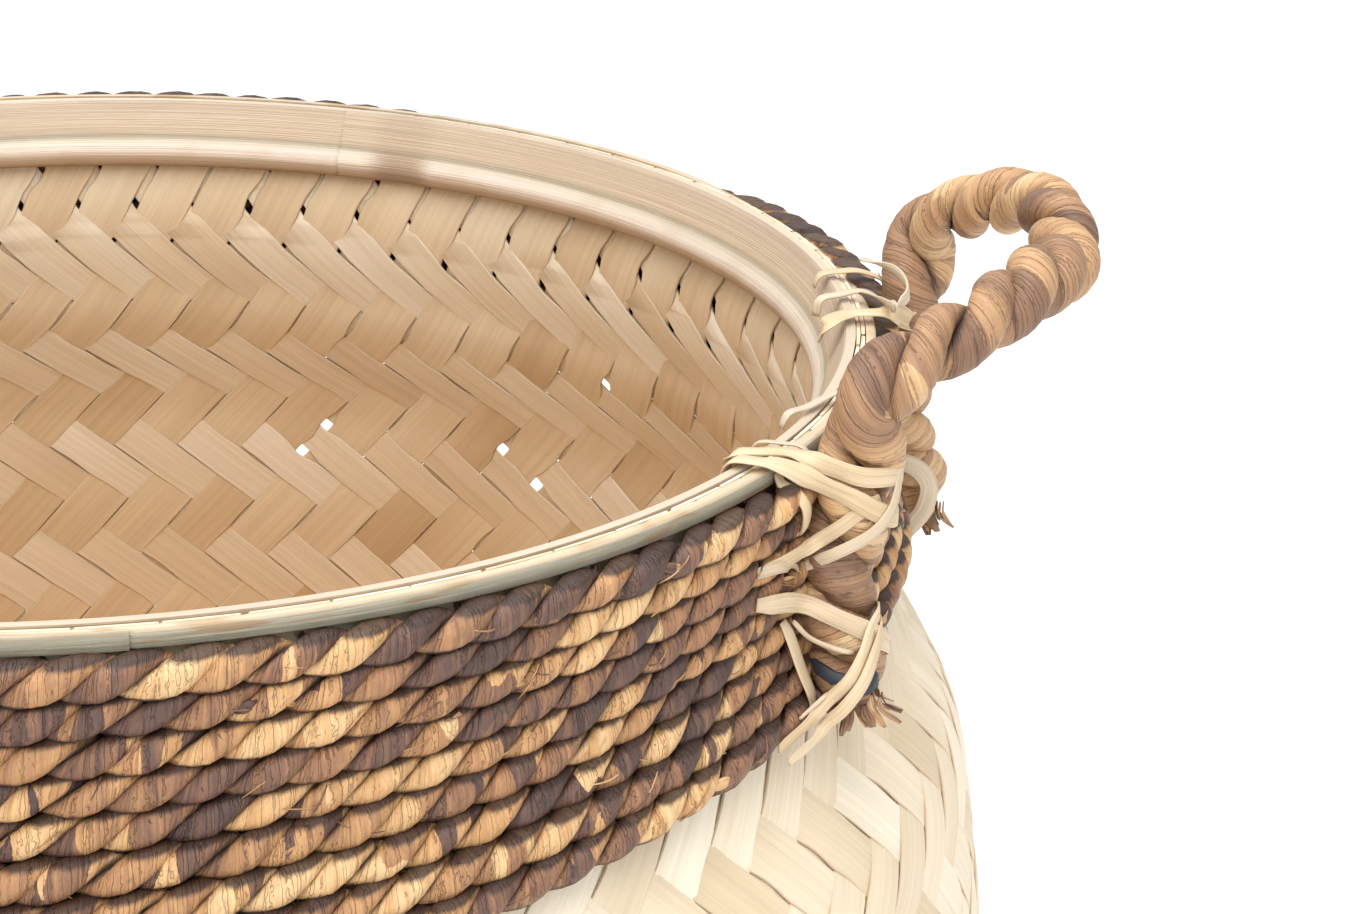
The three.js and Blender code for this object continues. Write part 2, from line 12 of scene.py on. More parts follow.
import bpy
import numpy as np
from mathutils import Matrix, Vector


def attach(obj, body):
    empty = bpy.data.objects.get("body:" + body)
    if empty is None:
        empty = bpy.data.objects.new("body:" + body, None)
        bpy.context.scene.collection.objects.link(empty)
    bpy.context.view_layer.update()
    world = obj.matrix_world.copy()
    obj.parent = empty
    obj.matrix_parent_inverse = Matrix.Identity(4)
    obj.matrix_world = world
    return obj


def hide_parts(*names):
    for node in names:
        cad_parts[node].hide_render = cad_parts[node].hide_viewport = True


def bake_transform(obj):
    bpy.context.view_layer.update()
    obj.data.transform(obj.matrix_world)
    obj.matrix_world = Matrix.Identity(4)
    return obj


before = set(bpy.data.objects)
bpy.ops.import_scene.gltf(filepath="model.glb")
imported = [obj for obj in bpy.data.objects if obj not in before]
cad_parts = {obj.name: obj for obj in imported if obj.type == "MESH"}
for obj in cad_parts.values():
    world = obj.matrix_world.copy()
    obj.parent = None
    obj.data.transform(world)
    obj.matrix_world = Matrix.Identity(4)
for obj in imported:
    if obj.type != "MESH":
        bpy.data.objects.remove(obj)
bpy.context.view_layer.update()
log = logging.getLogger("basket")

Array = np.ndarray
Material = bpy.types.Material
Pair = tuple[float, float]

BASKET = "basket"
MM = 0.001
QUARTER_TURN = math.pi / 2
FULL_TURN = 2 * math.pi
WAVE_COUNT = 4099
SPREAD_STEP = 0.61803
NECK_TURN_RADIUS = 0.205


def swing(place: Array, seed: int) -> Array:
    """Smooth random waves between -1 and 1.

    Args:
        place: Where to read the waves, one swing for each unit.
        seed: Which waves to read.

    Returns:
        The height of the waves at each place.
    """
    table = np.random.default_rng(seed).uniform(-1, 1, WAVE_COUNT)
    low = np.floor(place).astype(int)
    share = smoothstep(place - low, 0, 1)
    return table[low % WAVE_COUNT] * (1 - share) + table[(low + 1) % WAVE_COUNT] * share


def smoothstep(value: Array, low: float, high: float) -> Array:
    """Rises smoothly from 0 at low to 1 at high."""
    share = np.clip((value - low) / (high - low), 0, 1)
    return share * share * (3 - 2 * share)


def bump(angle: Array, middle: float, reach: float) -> Array:
    """1 near a middle angle, falling to 0 past a reach. All are radians."""
    away = np.angle(np.exp(1j * (np.asarray(angle, float) - middle)))
    return np.exp(-(away / reach) ** 4)


def unit(vectors: Array) -> Array:
    """Vectors along the last axis, made one unit long."""
    return vectors / np.maximum(np.linalg.norm(vectors, axis=-1, keepdims=True), 1e-12)


def lengths_along(line: Array) -> Array:
    """The way along a line at each of its points."""
    return np.concatenate([[0], np.cumsum(np.linalg.norm(np.diff(line, axis=0), axis=1))])


def level_out(angle: float) -> Array:
    """The level direction away from the basket's axis at an angle."""
    return np.array([math.cos(angle), math.sin(angle), 0])


def level_beside(out: Array) -> Array:
    """The level direction a quarter turn on from another."""
    return np.array([-out[1], out[0], 0])


def around_axis(radius: Array, angle: Array, height: Array) -> Array:
    """Points by their distance from the basket's axis, their angle from +X and their height."""
    radius, angle, height = np.broadcast_arrays(radius, angle, height)
    return np.stack([radius * np.cos(angle), radius * np.sin(angle), height], -1)


def smooth_profile(stations: list[Pair]) -> Callable[[Array], Array]:
    """A smooth curve through (x, y) stations that never overshoots them.

    Args:
        stations: The points, in the order of their x.

    Returns:
        A function that gives y for an array of x.
    """
    xs, ys = np.array(stations).T
    steps = np.diff(ys) / np.diff(xs)
    slopes = np.zeros(len(xs))
    slopes[0], slopes[-1] = steps[0], steps[-1]
    for i, (before, after) in enumerate(zip(steps[:-1], steps[1:]), start=1):
        slopes[i] = 0 if before * after <= 0 else 2 * before * after / (before + after)

    def curve(x: Array) -> Array:
        """The curve itself.

        Args:
            x: Where to read it. Past an end it stays at that end's height.

        Returns:
            The curve's height at each x.
        """
        x = np.clip(np.asarray(x, float), xs[0], xs[-1])
        i = np.clip(np.searchsorted(xs, x, side="right") - 1, 0, len(xs) - 2)
        span = xs[i + 1] - xs[i]
        t = (x - xs[i]) / span
        start = (1 + 2 * t) * (1 - t) ** 2
        rise = t * (1 - t) ** 2 * slopes[i] + t * t * (t - 1) * slopes[i + 1]
        return start * ys[i] + (1 - start) * ys[i + 1] + span * rise

    return curve


def smooth_line(points: Array, step: float) -> Array:
    """A smooth curve through points, sampled evenly.

    Args:
        points: The points, as (points, numbers in a point). Its first three numbers are its place.
        step: How far apart the samples are.

    Returns:
        The samples, with as many numbers each.
    """
    fine_samples, least_samples, least_gap = 2000, 4, 1e-6
    gaps = np.sqrt(np.linalg.norm(np.diff(points[:, :3], axis=0), axis=1)) + least_gap
    knots = np.concatenate([[0], np.cumsum(gaps)])
    slopes = np.gradient(points, knots, axis=0)
    fine = np.linspace(0, knots[-1], fine_samples)
    i = np.clip(np.searchsorted(knots, fine, side="right") - 1, 0, len(knots) - 2)
    span = (knots[i + 1] - knots[i])[:, None]
    t = (fine - knots[i])[:, None] / span
    curve = ((1 + 2 * t) * (1 - t) ** 2 * points[i] + t * (1 - t) ** 2 * span * slopes[i]
             + t * t * (3 - 2 * t) * points[i + 1] + t * t * (t - 1) * span * slopes[i + 1])
    along = lengths_along(curve[:, :3])
    even = np.linspace(0, along[-1], max(least_samples, int(along[-1] / step)))
    return np.stack([np.interp(even, along, column) for column in curve.T], -1)


def show(thing: bpy.types.Object) -> None:
    """Puts an object in the scene."""
    bpy.context.scene.collection.objects.link(thing)


class Tone:
    """A value or colour in a material's node tree, which can be used in sums and products."""

    def __init__(self, paint: "Paint", socket: bpy.types.NodeSocket) -> None:
        """Keeps the tree that the socket belongs to."""
        self.paint = paint
        self.socket = socket

    def __add__(self, other: "Amount") -> "Tone":
        """The sum."""
        return self.paint.maths("ADD", self, other)

    def __sub__(self, other: "Amount") -> "Tone":
        """The difference."""
        return self.paint.maths("SUBTRACT", self, other)

    def __rsub__(self, other: float) -> "Tone":
        """The difference, with a number first."""
        return self.paint.maths("SUBTRACT", other, self)

    def __mul__(self, other: "Amount") -> "Tone":
        """The product."""
        return self.paint.maths("MULTIPLY", self, other)


Amount = Tone | float
Colour = tuple[float, float, float]


class Paint:
    """One material and the nodes that colour it."""

    def __init__(self, name: str) -> None:
        """Makes an empty material with its shader.

        Args:
            name: The material's name.
        """
        self.material = bpy.data.materials.new(name)
        self.material.use_nodes = True
        self.tree = self.material.node_tree
        self.shader = self.tree.nodes["Principled BSDF"]

    def node(self, kind: str, settings: dict, values: dict, output: int | str = 0) -> Tone:
        """Adds one node.

        Args:
            kind: The node's type.
            settings: What is set on the node itself. Stops are a ramp's (place, colour) pairs.
            values: A number, colour, vector or Tone for each input, by name or number.
            output: The output to hand back.

        Returns:
            The node's output.
        """
        node = self.tree.nodes.new(kind)
        for name, setting in settings.items():
            if name == "stops":
                self._set_stops(node, setting)
            else:
                setattr(node, name, setting)
        for name, value in values.items():
            if isinstance(value, Tone):
                self.tree.links.new(value.socket, node.inputs[name])
            else:
                node.inputs[name].default_value = value
        return Tone(self, node.outputs[output])

    @staticmethod
    def _set_stops(node: bpy.types.Node, stops: list[tuple[float, Colour]]) -> None:
        """Gives a colour ramp its stops.

        Args:
            node: The ramp's node.
            stops: A (place, colour) pair for each stop.
        """
        elements = node.color_ramp.elements
        while len(elements) < len(stops):
            elements.new(0.5)
        for element, (place, colour) in zip(elements, stops):
            element.position = place
            element.color = (*colour, 1)

    def maths(self, operation: str, first: Amount, second: Amount) -> Tone:
        """A sum, product or other operation on two values."""
        return self.node("ShaderNodeMath", {"operation": operation}, {0: first, 1: second})

    def attribute(self, name: str) -> Tone:
        """A vector stored on the mesh's points."""
        return self.node("ShaderNodeAttribute", {"attribute_name": name}, {}, "Vector")

    def parts(self, vector: Tone) -> tuple[Tone, Tone, Tone]:
        """Takes a vector apart.

        Args:
            vector: The vector.

        Returns:
            Its three numbers.
        """
        first = self.node("ShaderNodeSeparateXYZ", {}, {0: vector})
        node = first.socket.node
        return tuple(Tone(self, output) for output in node.outputs)

    def vector(self, x: Amount, y: Amount, z: Amount) -> Tone:
        """A vector of three numbers."""
        return self.node("ShaderNodeCombineXYZ", {}, {0: x, 1: y, 2: z})

    def noise(self, place: Tone, detail: float = 2.0, roughness: float = 0.5) -> Tone:
        """Soft noise between 0 and 1, one swing for each unit of place."""
        values = {"Vector": place, "Scale": 1.0, "Detail": detail, "Roughness": roughness}
        return self.node("ShaderNodeTexNoise", {}, values)

    def grain(self, place: tuple[Tone, Tone, Tone], scale: tuple[float, float, float], detail: float = 1.0,
              roughness: float = 0.5) -> Tone:
        """Noise that is stretched by its own scale in each of three directions.

        Args:
            place: Where to read it.
            scale: How many swings it has in each direction, for each unit of place.
            detail: How many finer layers it has.
            roughness: How strong they are.

        Returns:
            The noise, between 0 and 1.
        """
        scaled = self.vector(*(part * factor for part, factor in zip(place, scale)))
        return self.noise(scaled, detail, roughness)

    def cells(self, place: Tone) -> Tone:
        """Patches with hard edges, about one for each unit of place.

        Args:
            place: Where to read them.

        Returns:
            One random number for each patch, between 0 and 1.
        """
        values = {"Vector": place, "Scale": 1.0}
        colour = self.node("ShaderNodeTexVoronoi", {"feature": "F1"}, values, "Color")
        return self.parts(colour)[0]

    def between(self, value: Tone, low: float, high: float) -> Tone:
        """Rises smoothly from 0 where value is low to 1 where it is high."""
        settings = {"interpolation_type": "SMOOTHSTEP"}
        return self.node("ShaderNodeMapRange", settings, {0: value, 1: low, 2: high, 3: 0.0, 4: 1.0})

    def ramp(self, value: Tone, stops: list[tuple[float, Colour]]) -> Tone:
        """A colour for each value between 0 and 1."""
        return self.node("ShaderNodeValToRGB", {"stops": stops}, {0: value}, "Color")

    def mix(self, share: Amount, first: Tone | Colour, second: Tone | Colour, blend: str = "MIX") -> Tone:
        """Mixes two colours.

        Args:
            share: The share of the second colour.
            first: The first colour.
            second: The second colour.
            blend: How the second goes over the first.

        Returns:
            The mixed colour.
        """
        colours = {
            number: colour if isinstance(colour, Tone) else (*colour, 1)
            for number, colour in ((6, first), (7, second))
        }
        settings = {"data_type": "RGBA", "blend_type": blend}
        return self.node("ShaderNodeMix", settings, {0: share, **colours}, 2)

    def darken(self, colour: Tone, value: Tone) -> Tone:
        """A colour times a number."""
        grey = self.node("ShaderNodeCombineColor", {}, {0: value, 1: value, 2: value})
        return self.mix(1.0, colour, grey, "MULTIPLY")

    def finish(self, colour: Tone, roughness: float, height: Tone, depth: float) -> Material:
        """Joins what varies to the shader.

        Args:
            colour: The base colour.
            roughness: The roughness.
            height: The fine relief.
            depth: How deep a height of 1 is, in metres.

        Returns:
            The finished material.
        """
        relief = self.node("ShaderNodeBump", {}, {"Strength": 1.0, "Distance": depth, "Height": height})
        for name, value in (("Base Color", colour), ("Normal", relief)):
            self.tree.links.new(value.socket, self.shader.inputs[name])
        self.shader.inputs["Roughness"].default_value = roughness
        return self.material


@dataclass(frozen=True)
class SplitBamboo:
    """A strip of split bamboo, with its long grain and its change of colour from strip to strip.

    The point attribute strip_place holds the way along, the way across, both in metres, and the
    strip's own number between 0 and 1. strip_look holds the share of the outer face, the lean and
    how near the strip's edge a point is. Inside, the lean picks a paler or a darker copy of the
    colour, painted light and shade, and the colour darkens as painted shade low in the basket.
    Near its edges a strip darkens as painted shade in the gaps between strips.
    """

    outside: tuple[Colour, ...] = ((0.62, 0.50, 0.33), (0.74, 0.62, 0.45), (0.82, 0.73, 0.58))
    # Painted light and shade: inside, each strip takes a paler lit copy or a darker shaded copy of its own
    # tone, chosen by its lean.
    shaded_inside_steep: tuple[Colour, ...] = ((0.66, 0.49, 0.295), (0.79, 0.63, 0.42), (0.87, 0.74, 0.54))
    lit_inside_flat: tuple[Colour, ...] = ((0.76, 0.61, 0.42), (0.87, 0.75, 0.56), (0.95, 0.87, 0.73))
    # Painted shade: low in the basket the inside is multiplied by this colour, fading out between these two
    # heights.
    deep_inside_shade: Colour = (0.82, 0.71, 0.60)
    deep_shade_from: float = 0.27
    deep_shade_to: float = 0.14
    # Painted shade in the gaps between strips: the colour that the strips' sides and edges darken to.
    edge: Colour = (0.25, 0.12, 0.045)
    edge_shade_from: float = 0.80
    edge_shade_share: float = 0.5
    stops: tuple[float, ...] = (0.25, 0.5, 0.75)
    roughness: float = 0.55
    relief: float = 0.12 * MM

    def material(self) -> Material:
        """Makes the material.

        Returns:
            The finished material.
        """
        paint = Paint("split_bamboo_strip")
        along, across, number = paint.parts(paint.attribute("strip_place"))
        outer, lean, edge = paint.parts(paint.attribute("strip_look"))
        place = (along, across, number)
        patch = paint.grain(place, (9.0, 40.0, 311.0))
        own = paint.noise(paint.vector(number * 517.0, along * 1.2, 0.5), 0.0)
        tone = (patch * 0.60 + own * 0.90) - 0.25
        outside, shaded_steep, flat = (
            paint.ramp(tone, list(zip(self.stops, colours)))
            for colours in (self.outside, self.shaded_inside_steep, self.lit_inside_flat))
        # Painted shade: the inside darkens towards the bottom of the basket, by height.
        _, _, level = paint.parts(paint.node("ShaderNodeTexCoord", {}, {}, "Object"))
        low = 1.0 - paint.between(level, self.deep_shade_to, self.deep_shade_from)
        # The lean picks the lit or the shaded copy, painted light and shade.
        inside = paint.mix(low, paint.mix(lean, flat, shaded_steep), self.deep_inside_shade, "MULTIPLY")
        colour = paint.mix(outer, inside, outside)
        fibre = paint.grain(place, (22.0, 2600.0, 91.0), 2.0, 0.6)
        streak = paint.grain(place, (7.0, 620.0, 47.0))
        colour = paint.darken(colour, fibre * 0.22 + (streak * 0.28 + 0.76))
        # Painted shade: the strip darkens towards its edges, where the gaps between strips lie in shade.
        edge_shade = paint.between(edge, self.edge_shade_from, 1.0)
        colour = paint.mix(edge_shade * self.edge_shade_share, colour, self.edge)
        return paint.finish(colour, self.roughness, fibre * 0.5 + streak, self.relief)


@dataclass(frozen=True)
class HoopBamboo:
    """A thick strip bent to a ring: long fibres round it, and a change of colour down its face.

    The point attribute hoop_place holds the way round in metres, the depth below the top as a
    share of the height, and the way through its thickness in metres. hoop_look holds the share of
    a knuckle and the share of a stain.
    """

    name: str
    bands: tuple[tuple[float, Colour], ...]
    knuckle: Colour = (0.34, 0.235, 0.15)
    stain: Colour = (0.40, 0.25, 0.13)
    wander: float = 0.10
    roughness: float = 0.42
    relief: float = 0.25 * MM

    def material(self) -> Material:
        """Makes the material.

        Returns:
            The finished material.
        """
        paint = Paint(self.name)
        around, down, through = paint.parts(paint.attribute("hoop_place"))
        knuckle, stained, _ = paint.parts(paint.attribute("hoop_look"))
        place = (around, down, through)
        shade = paint.grain(place, (6.0, 2.0, 0.0), 2.0)
        colour = paint.ramp(down + (shade - 0.5) * self.wander, list(self.bands))
        fibre = paint.grain(place, (18.0, 60.0, 900.0), 3.0, 0.6)
        band = paint.grain(place, (4.0, 11.0, 200.0))
        colour = paint.darken(colour, fibre * 0.22 + (band * 0.20 + 0.79))
        colour = paint.mix(knuckle, colour, self.knuckle)
        patch = paint.between(paint.noise(paint.vector(around * 60.0, down * 1.5, 4.0), 2.0), 0.50, 0.66)
        colour = paint.mix(stained * patch, colour, self.stain)
        return paint.finish(colour, self.roughness, fibre + band, self.relief)


@dataclass(frozen=True)
class TwistedLeaf:
    """Dried leaf twisted to a strand, straw to dark brown along its length.

    The point attribute strand_place holds the way along the strand and two ways across it, which
    turn with the leaf's own twist, in metres. strand_look holds how deep in the rope's groove a
    point lies, the folds of the leaf and the strand's number. The groove, the folds and fine
    creases are darkened as painted shade.
    """

    name: str
    palette: tuple[tuple[float, Colour], ...]
    stretch: float
    around: float = 40.0
    # The colour of the painted shade in the rope's grooves, the leaf's folds and its creases.
    crevice_shade: Colour = (0.035, 0.016, 0.011)
    crease_reach: float = 0.022
    roughness: float = 0.52
    relief: float = 0.4 * MM

    def material(self) -> Material:
        """Makes the material.

        Returns:
            The finished material.
        """
        paint = Paint(self.name)
        along, across, through = paint.parts(paint.attribute("strand_place"))
        groove, fold, number = paint.parts(paint.attribute("strand_look"))

        def leaf_noise(long: float, wide: float, own: float, detail: float, roughness: float = 0.5) -> Tone:
            """Noise with a scale along the strand, one round it and a shift for each strand."""
            place = paint.vector(along * long, across * wide, through * wide + number * own)
            return paint.noise(place, detail, roughness)

        round_place = through * self.around + number * 77.0
        wrap = paint.cells(paint.vector(along * (1 / self.stretch), across * self.around, round_place))
        slow = paint.noise(paint.vector(along * (0.22 / self.stretch), number * 133.0, 3.0), 1.0)
        patch = leaf_noise(150.0, 320.0, 71.0, 3.0, 0.6)
        tone = wrap * 0.68 + ((slow - 0.5) * 0.70 + ((patch - 0.5) * 0.62 + 0.16))
        colour = paint.ramp(tone, list(self.palette))
        fibre = leaf_noise(70.0, 3000.0, 31.0, 2.0, 0.6)
        vein = leaf_noise(30.0, 1000.0, 17.0, 2.0)
        colour = paint.darken(colour, fibre * 0.26 + (vein * 0.46 + 0.64))
        line = leaf_noise(34.0, 420.0, 57.0, 1.0)
        crease = 1.0 - paint.between(paint.maths("ABSOLUTE", line - 0.5, 0.0), 0.0, self.crease_reach)
        groove_shade, fold_shade = paint.between(groove, 0.19, 0.72), paint.between(fold, 0.35, 1.0)
        # Painted shade: fine creases, the groove between strands and rows, and the leaf's folds darken to the
        # crevice colour.
        for share in (crease * 0.28, groove_shade * 0.92, fold_shade * 0.45):
            colour = paint.mix(share, colour, self.crevice_shade)
        return paint.finish(colour, self.roughness, (fibre * 0.4 + vein) - crease * 0.6, self.relief)


@dataclass(frozen=True)
class CaneSkin:
    """Thin pale cane for the lashings, with fine long fibres.

    The point attribute strip_place holds the way along and across in metres and the strip's own
    number. strip_look holds how grey the strip has turned.
    """

    pale: Colour = (0.78, 0.63, 0.43)
    deep: Colour = (0.60, 0.42, 0.22)
    grey: Colour = (0.60, 0.52, 0.43)
    roughness: float = 0.45
    relief: float = 0.25 * MM

    def material(self) -> Material:
        """Makes the material.

        Returns:
            The finished material.
        """
        paint = Paint("cane_lashing")
        along, across, number = paint.parts(paint.attribute("strip_place"))
        aged, _, _ = paint.parts(paint.attribute("strip_look"))
        place = (along, across, number)
        fibre = paint.grain(place, (40.0, 3800.0, 57.0), 2.0, 0.6)
        patch = paint.grain(place, (45.0, 160.0, 29.0))
        colour = paint.mix(patch, self.pale, self.deep)
        colour = paint.mix(aged, colour, self.grey)
        colour = paint.darken(colour, fibre * 0.7 + 0.56)
        return paint.finish(colour, self.roughness, fibre, self.relief)


@dataclass(frozen=True)
class PlainSurface:
    """A surface with one colour that a soft noise breaks up a little."""

    name: str
    colour: Colour
    dark_share: float
    scale: float
    roughness: float
    relief: float = 0.1 * MM

    def material(self) -> Material:
        """Makes the material.

        Returns:
            The finished material.
        """
        paint = Paint(self.name)
        place = paint.node("ShaderNodeTexCoord", {}, {}, "Object")
        settings = {"operation": "SCALE"}
        scaled = paint.node("ShaderNodeVectorMath", settings, {0: place, "Scale": self.scale})
        noise = paint.noise(scaled, 3.0)
        colour = paint.mix(noise * self.dark_share, self.colour, (0.0, 0.0, 0.0))
        return paint.finish(colour, self.roughness, noise, self.relief)


class Skin:
    """Points, faces and point attributes gathered for one mesh."""

    def __init__(self) -> None:
        """Starts empty."""
        self.points: list[Array] = []
        self.corners: list[Array] = []
        self.sizes: list[Array] = []
        self.layers: dict[str, list[Array]] = {}
        self.count = 0

    def add_tube(self, rings: Array, *, closed: bool = False, **layers: Array) -> None:
        """Adds a body over a row of rings, with an end face at each end unless it closes on itself.

        Args:
            rings: Points as (rings, points in a ring, 3).
            closed: True where the last ring joins the first.
            layers: A vector for each point, as (rings, points in a ring, 3).
        """
        ring_count, side_count = rings.shape[:2]
        number = np.arange(ring_count * side_count).reshape(ring_count, side_count)
        after = np.roll(number, -1, axis=1)
        if closed:
            low, high = number, np.roll(number, -1, axis=0)
            low_after, high_after = after, np.roll(after, -1, axis=0)
        else:
            low, high, low_after, high_after = number[:-1], number[1:], after[:-1], after[1:]
        quads = np.stack([low, low_after, high_after, high], -1).reshape(-1, 4)
        faces = [quads]
        if not closed:
            faces += [number[:1, ::-1], number[-1:]]
        points = rings.reshape(-1, 3)
        if self._volume(points, quads, faces[1:]) < 0:
            faces = [face[:, ::-1] for face in faces]
        for face in faces:
            self.corners.append(face.ravel() + self.count)
            self.sizes.append(np.full(len(face), face.shape[1]))
        self.points.append(points)
        for name, values in layers.items():
            whole = np.broadcast_to(values, rings.shape).reshape(-1, 3)
            self.layers.setdefault(name, []).append(whole)
        self.count += len(points)

    @staticmethod
    def _volume(points: Array, quads: Array, ends: list[Array]) -> float:
        """Measures what the faces enclose.

        Args:
            points: The points.
            quads: The side faces, as point numbers.
            ends: The end faces, as point numbers.

        Returns:
            Six times the volume, below zero where the faces point inwards.
        """
        middle = points.mean(0)
        total = 0.0
        for face in [quads, *ends]:
            for k in range(1, face.shape[1] - 1):
                a, b, c = (points[face[:, n]] - middle for n in (0, k, k + 1))
                total += float(np.einsum("ij,ij->", a, np.cross(b, c)))
        return total

    def build(self, name: str, material: Material, slot: str, body: str | None = BASKET,
              sharp: float | None = None) -> bpy.types.Object:
        """Makes the piece.

        Args:
            name: The piece's name.
            material: Its material.
            slot: A material slot's name, which is not used.
            body: The body that it rides on, or None where it rides on none.
            sharp: The angle past which an edge stays sharp, in radians, or None for smooth all over.

        Returns:
            The new object.
        """
        mesh = bpy.data.meshes.new(name)
        corners = np.concatenate(self.corners)
        sizes = np.concatenate(self.sizes)
        mesh.vertices.add(self.count)
        mesh.vertices.foreach_set("co", np.concatenate(self.points).astype(np.float32).ravel())
        mesh.loops.add(len(corners))
        mesh.loops.foreach_set("vertex_index", corners.astype(np.int32))
        mesh.polygons.add(len(sizes))
        mesh.polygons.foreach_set("loop_start", (np.cumsum(sizes) - sizes).astype(np.int32))
        mesh.update(calc_edges=True)
        mesh.validate()
        mesh.shade_smooth()
        if sharp is not None:
            mesh.set_sharp_from_angle(angle=sharp)
        for layer, values in self.layers.items():
            data = mesh.attributes.new(layer, "FLOAT_VECTOR", "POINT").data
            data.foreach_set("vector", np.concatenate(values).astype(np.float32).ravel())
        mesh.materials.append(material)
        piece = bpy.data.objects.new(name, mesh)
        show(piece)
        if body is not None:
            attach(piece, body)
        log.info("%s: %d points", name, self.count)
        return piece


@dataclass
class BodyForm:
    """The basket's outside, by an angle and the way along a line from the base's middle to the rim.

    wall_stations holds depths below the rim's top and the outside radius at each.
    """

    height: float = 0.320
    wall_stations: tuple[Pair, ...] = (
        (0.0, 0.1893), (0.028, 0.1856), (0.062, 0.1958),
        (0.107, 0.2172), (0.175, 0.2238), (0.258, 0.204),
    )
    base_half_side: float = 0.148
    edge_radius: float = 0.024
    edge_turn: float = math.pi / 3
    corner_share: float = 1.2123
    round_from: float = 0.150
    wall_thickness: float = 1.8 * MM
    weave_top_depth: float = 0.6 * MM
    past_the_rim: float = 0.030
    edge_steps: int = 24
    wall_steps: int = 600

    def __post_init__(self) -> None:
        """Works out the line from the middle of the base to a little past the rim."""
        edge_height = self.edge_radius * (1 - math.cos(self.edge_turn))
        edge_side = self.base_half_side + self.edge_radius * math.sin(self.edge_turn)
        stations = [(edge_height, edge_side)]
        stations += [(self.height - depth, radius) for depth, radius in reversed(self.wall_stations)]
        self.half_side = smooth_profile(stations)
        turns = np.linspace(0, self.edge_turn, self.edge_steps)
        heights = np.linspace(edge_height, self.height, self.wall_steps)[1:]
        edge_sides = self.base_half_side + self.edge_radius * np.sin(turns)
        edge_levels = self.edge_radius * (1 - np.cos(turns))
        sides = np.concatenate([[0], edge_sides, self.half_side(heights)])
        levels = np.concatenate([[0], edge_levels, heights, [self.height + self.past_the_rim]])
        self.line = np.stack([np.append(sides, sides[-1]), levels], -1)
        self.way = lengths_along(self.line)
        self.rim_way = self.way[-2]
        self.base_power = 1 / (0.5 - math.log2(self.corner_share))

    def wall_radius(self, depth: Array) -> Array:
        """The wall's outside radius at a depth below the rim's top, on the round part."""
        return self.half_side(self.height - np.asarray(depth, float))

    def way_at_depth(self, depth: float) -> float:
        """The way along the line at which the wall has a depth below the rim's top."""
        wall = slice(self.edge_steps, None)
        return float(np.interp(self.height - depth, self.line[wall, 1], self.way[wall]))

    def roundness(self, level: Array) -> Array:
        """How round the section is at a height, from 0 at the base to 1."""
        return smoothstep(level, 0, self.round_from)

    def at(self, angle: Array, way: Array) -> Array:
        """Points of the outside.

        Args:
            angle: The angles from +X.
            way: The ways along the line.

        Returns:
            A point for each pair.
        """
        side = np.interp(way, self.way, self.line[:, 0])
        level = np.interp(way, self.way, self.line[:, 1])
        power = self.base_power + (2 - self.base_power) * self.roundness(level)
        across, along = np.abs(np.cos(angle)), np.abs(np.sin(angle))
        rounded = side / (across ** power + along ** power) ** (1 / power)
        square = side / np.maximum(across, along)
        share = smoothstep(way, 0, self.base_half_side)
        return around_axis(square + (rounded - square) * share, angle, level)

    def outward(self, angle: Array, way: Array) -> Array:
        """Directions out of the basket's surface.

        Args:
            angle: The angles from +X.
            way: The ways along the line.

        Returns:
            A direction for each pair.
        """
        step, typical_radius = 0.5 * MM, 0.2
        turn = step / typical_radius
        inner = np.maximum(way, 2 * step)
        around = self.at(angle + turn, inner) - self.at(angle - turn, inner)
        up = self.at(angle, np.minimum(inner + step, self.way[-1])) - self.at(angle, inner - step)
        return unit(np.cross(around, up))


class Family(Enum):
    """The two families of strips, by the diagonal of the base that they run along."""

    FALLING = 1
    RISING = -1


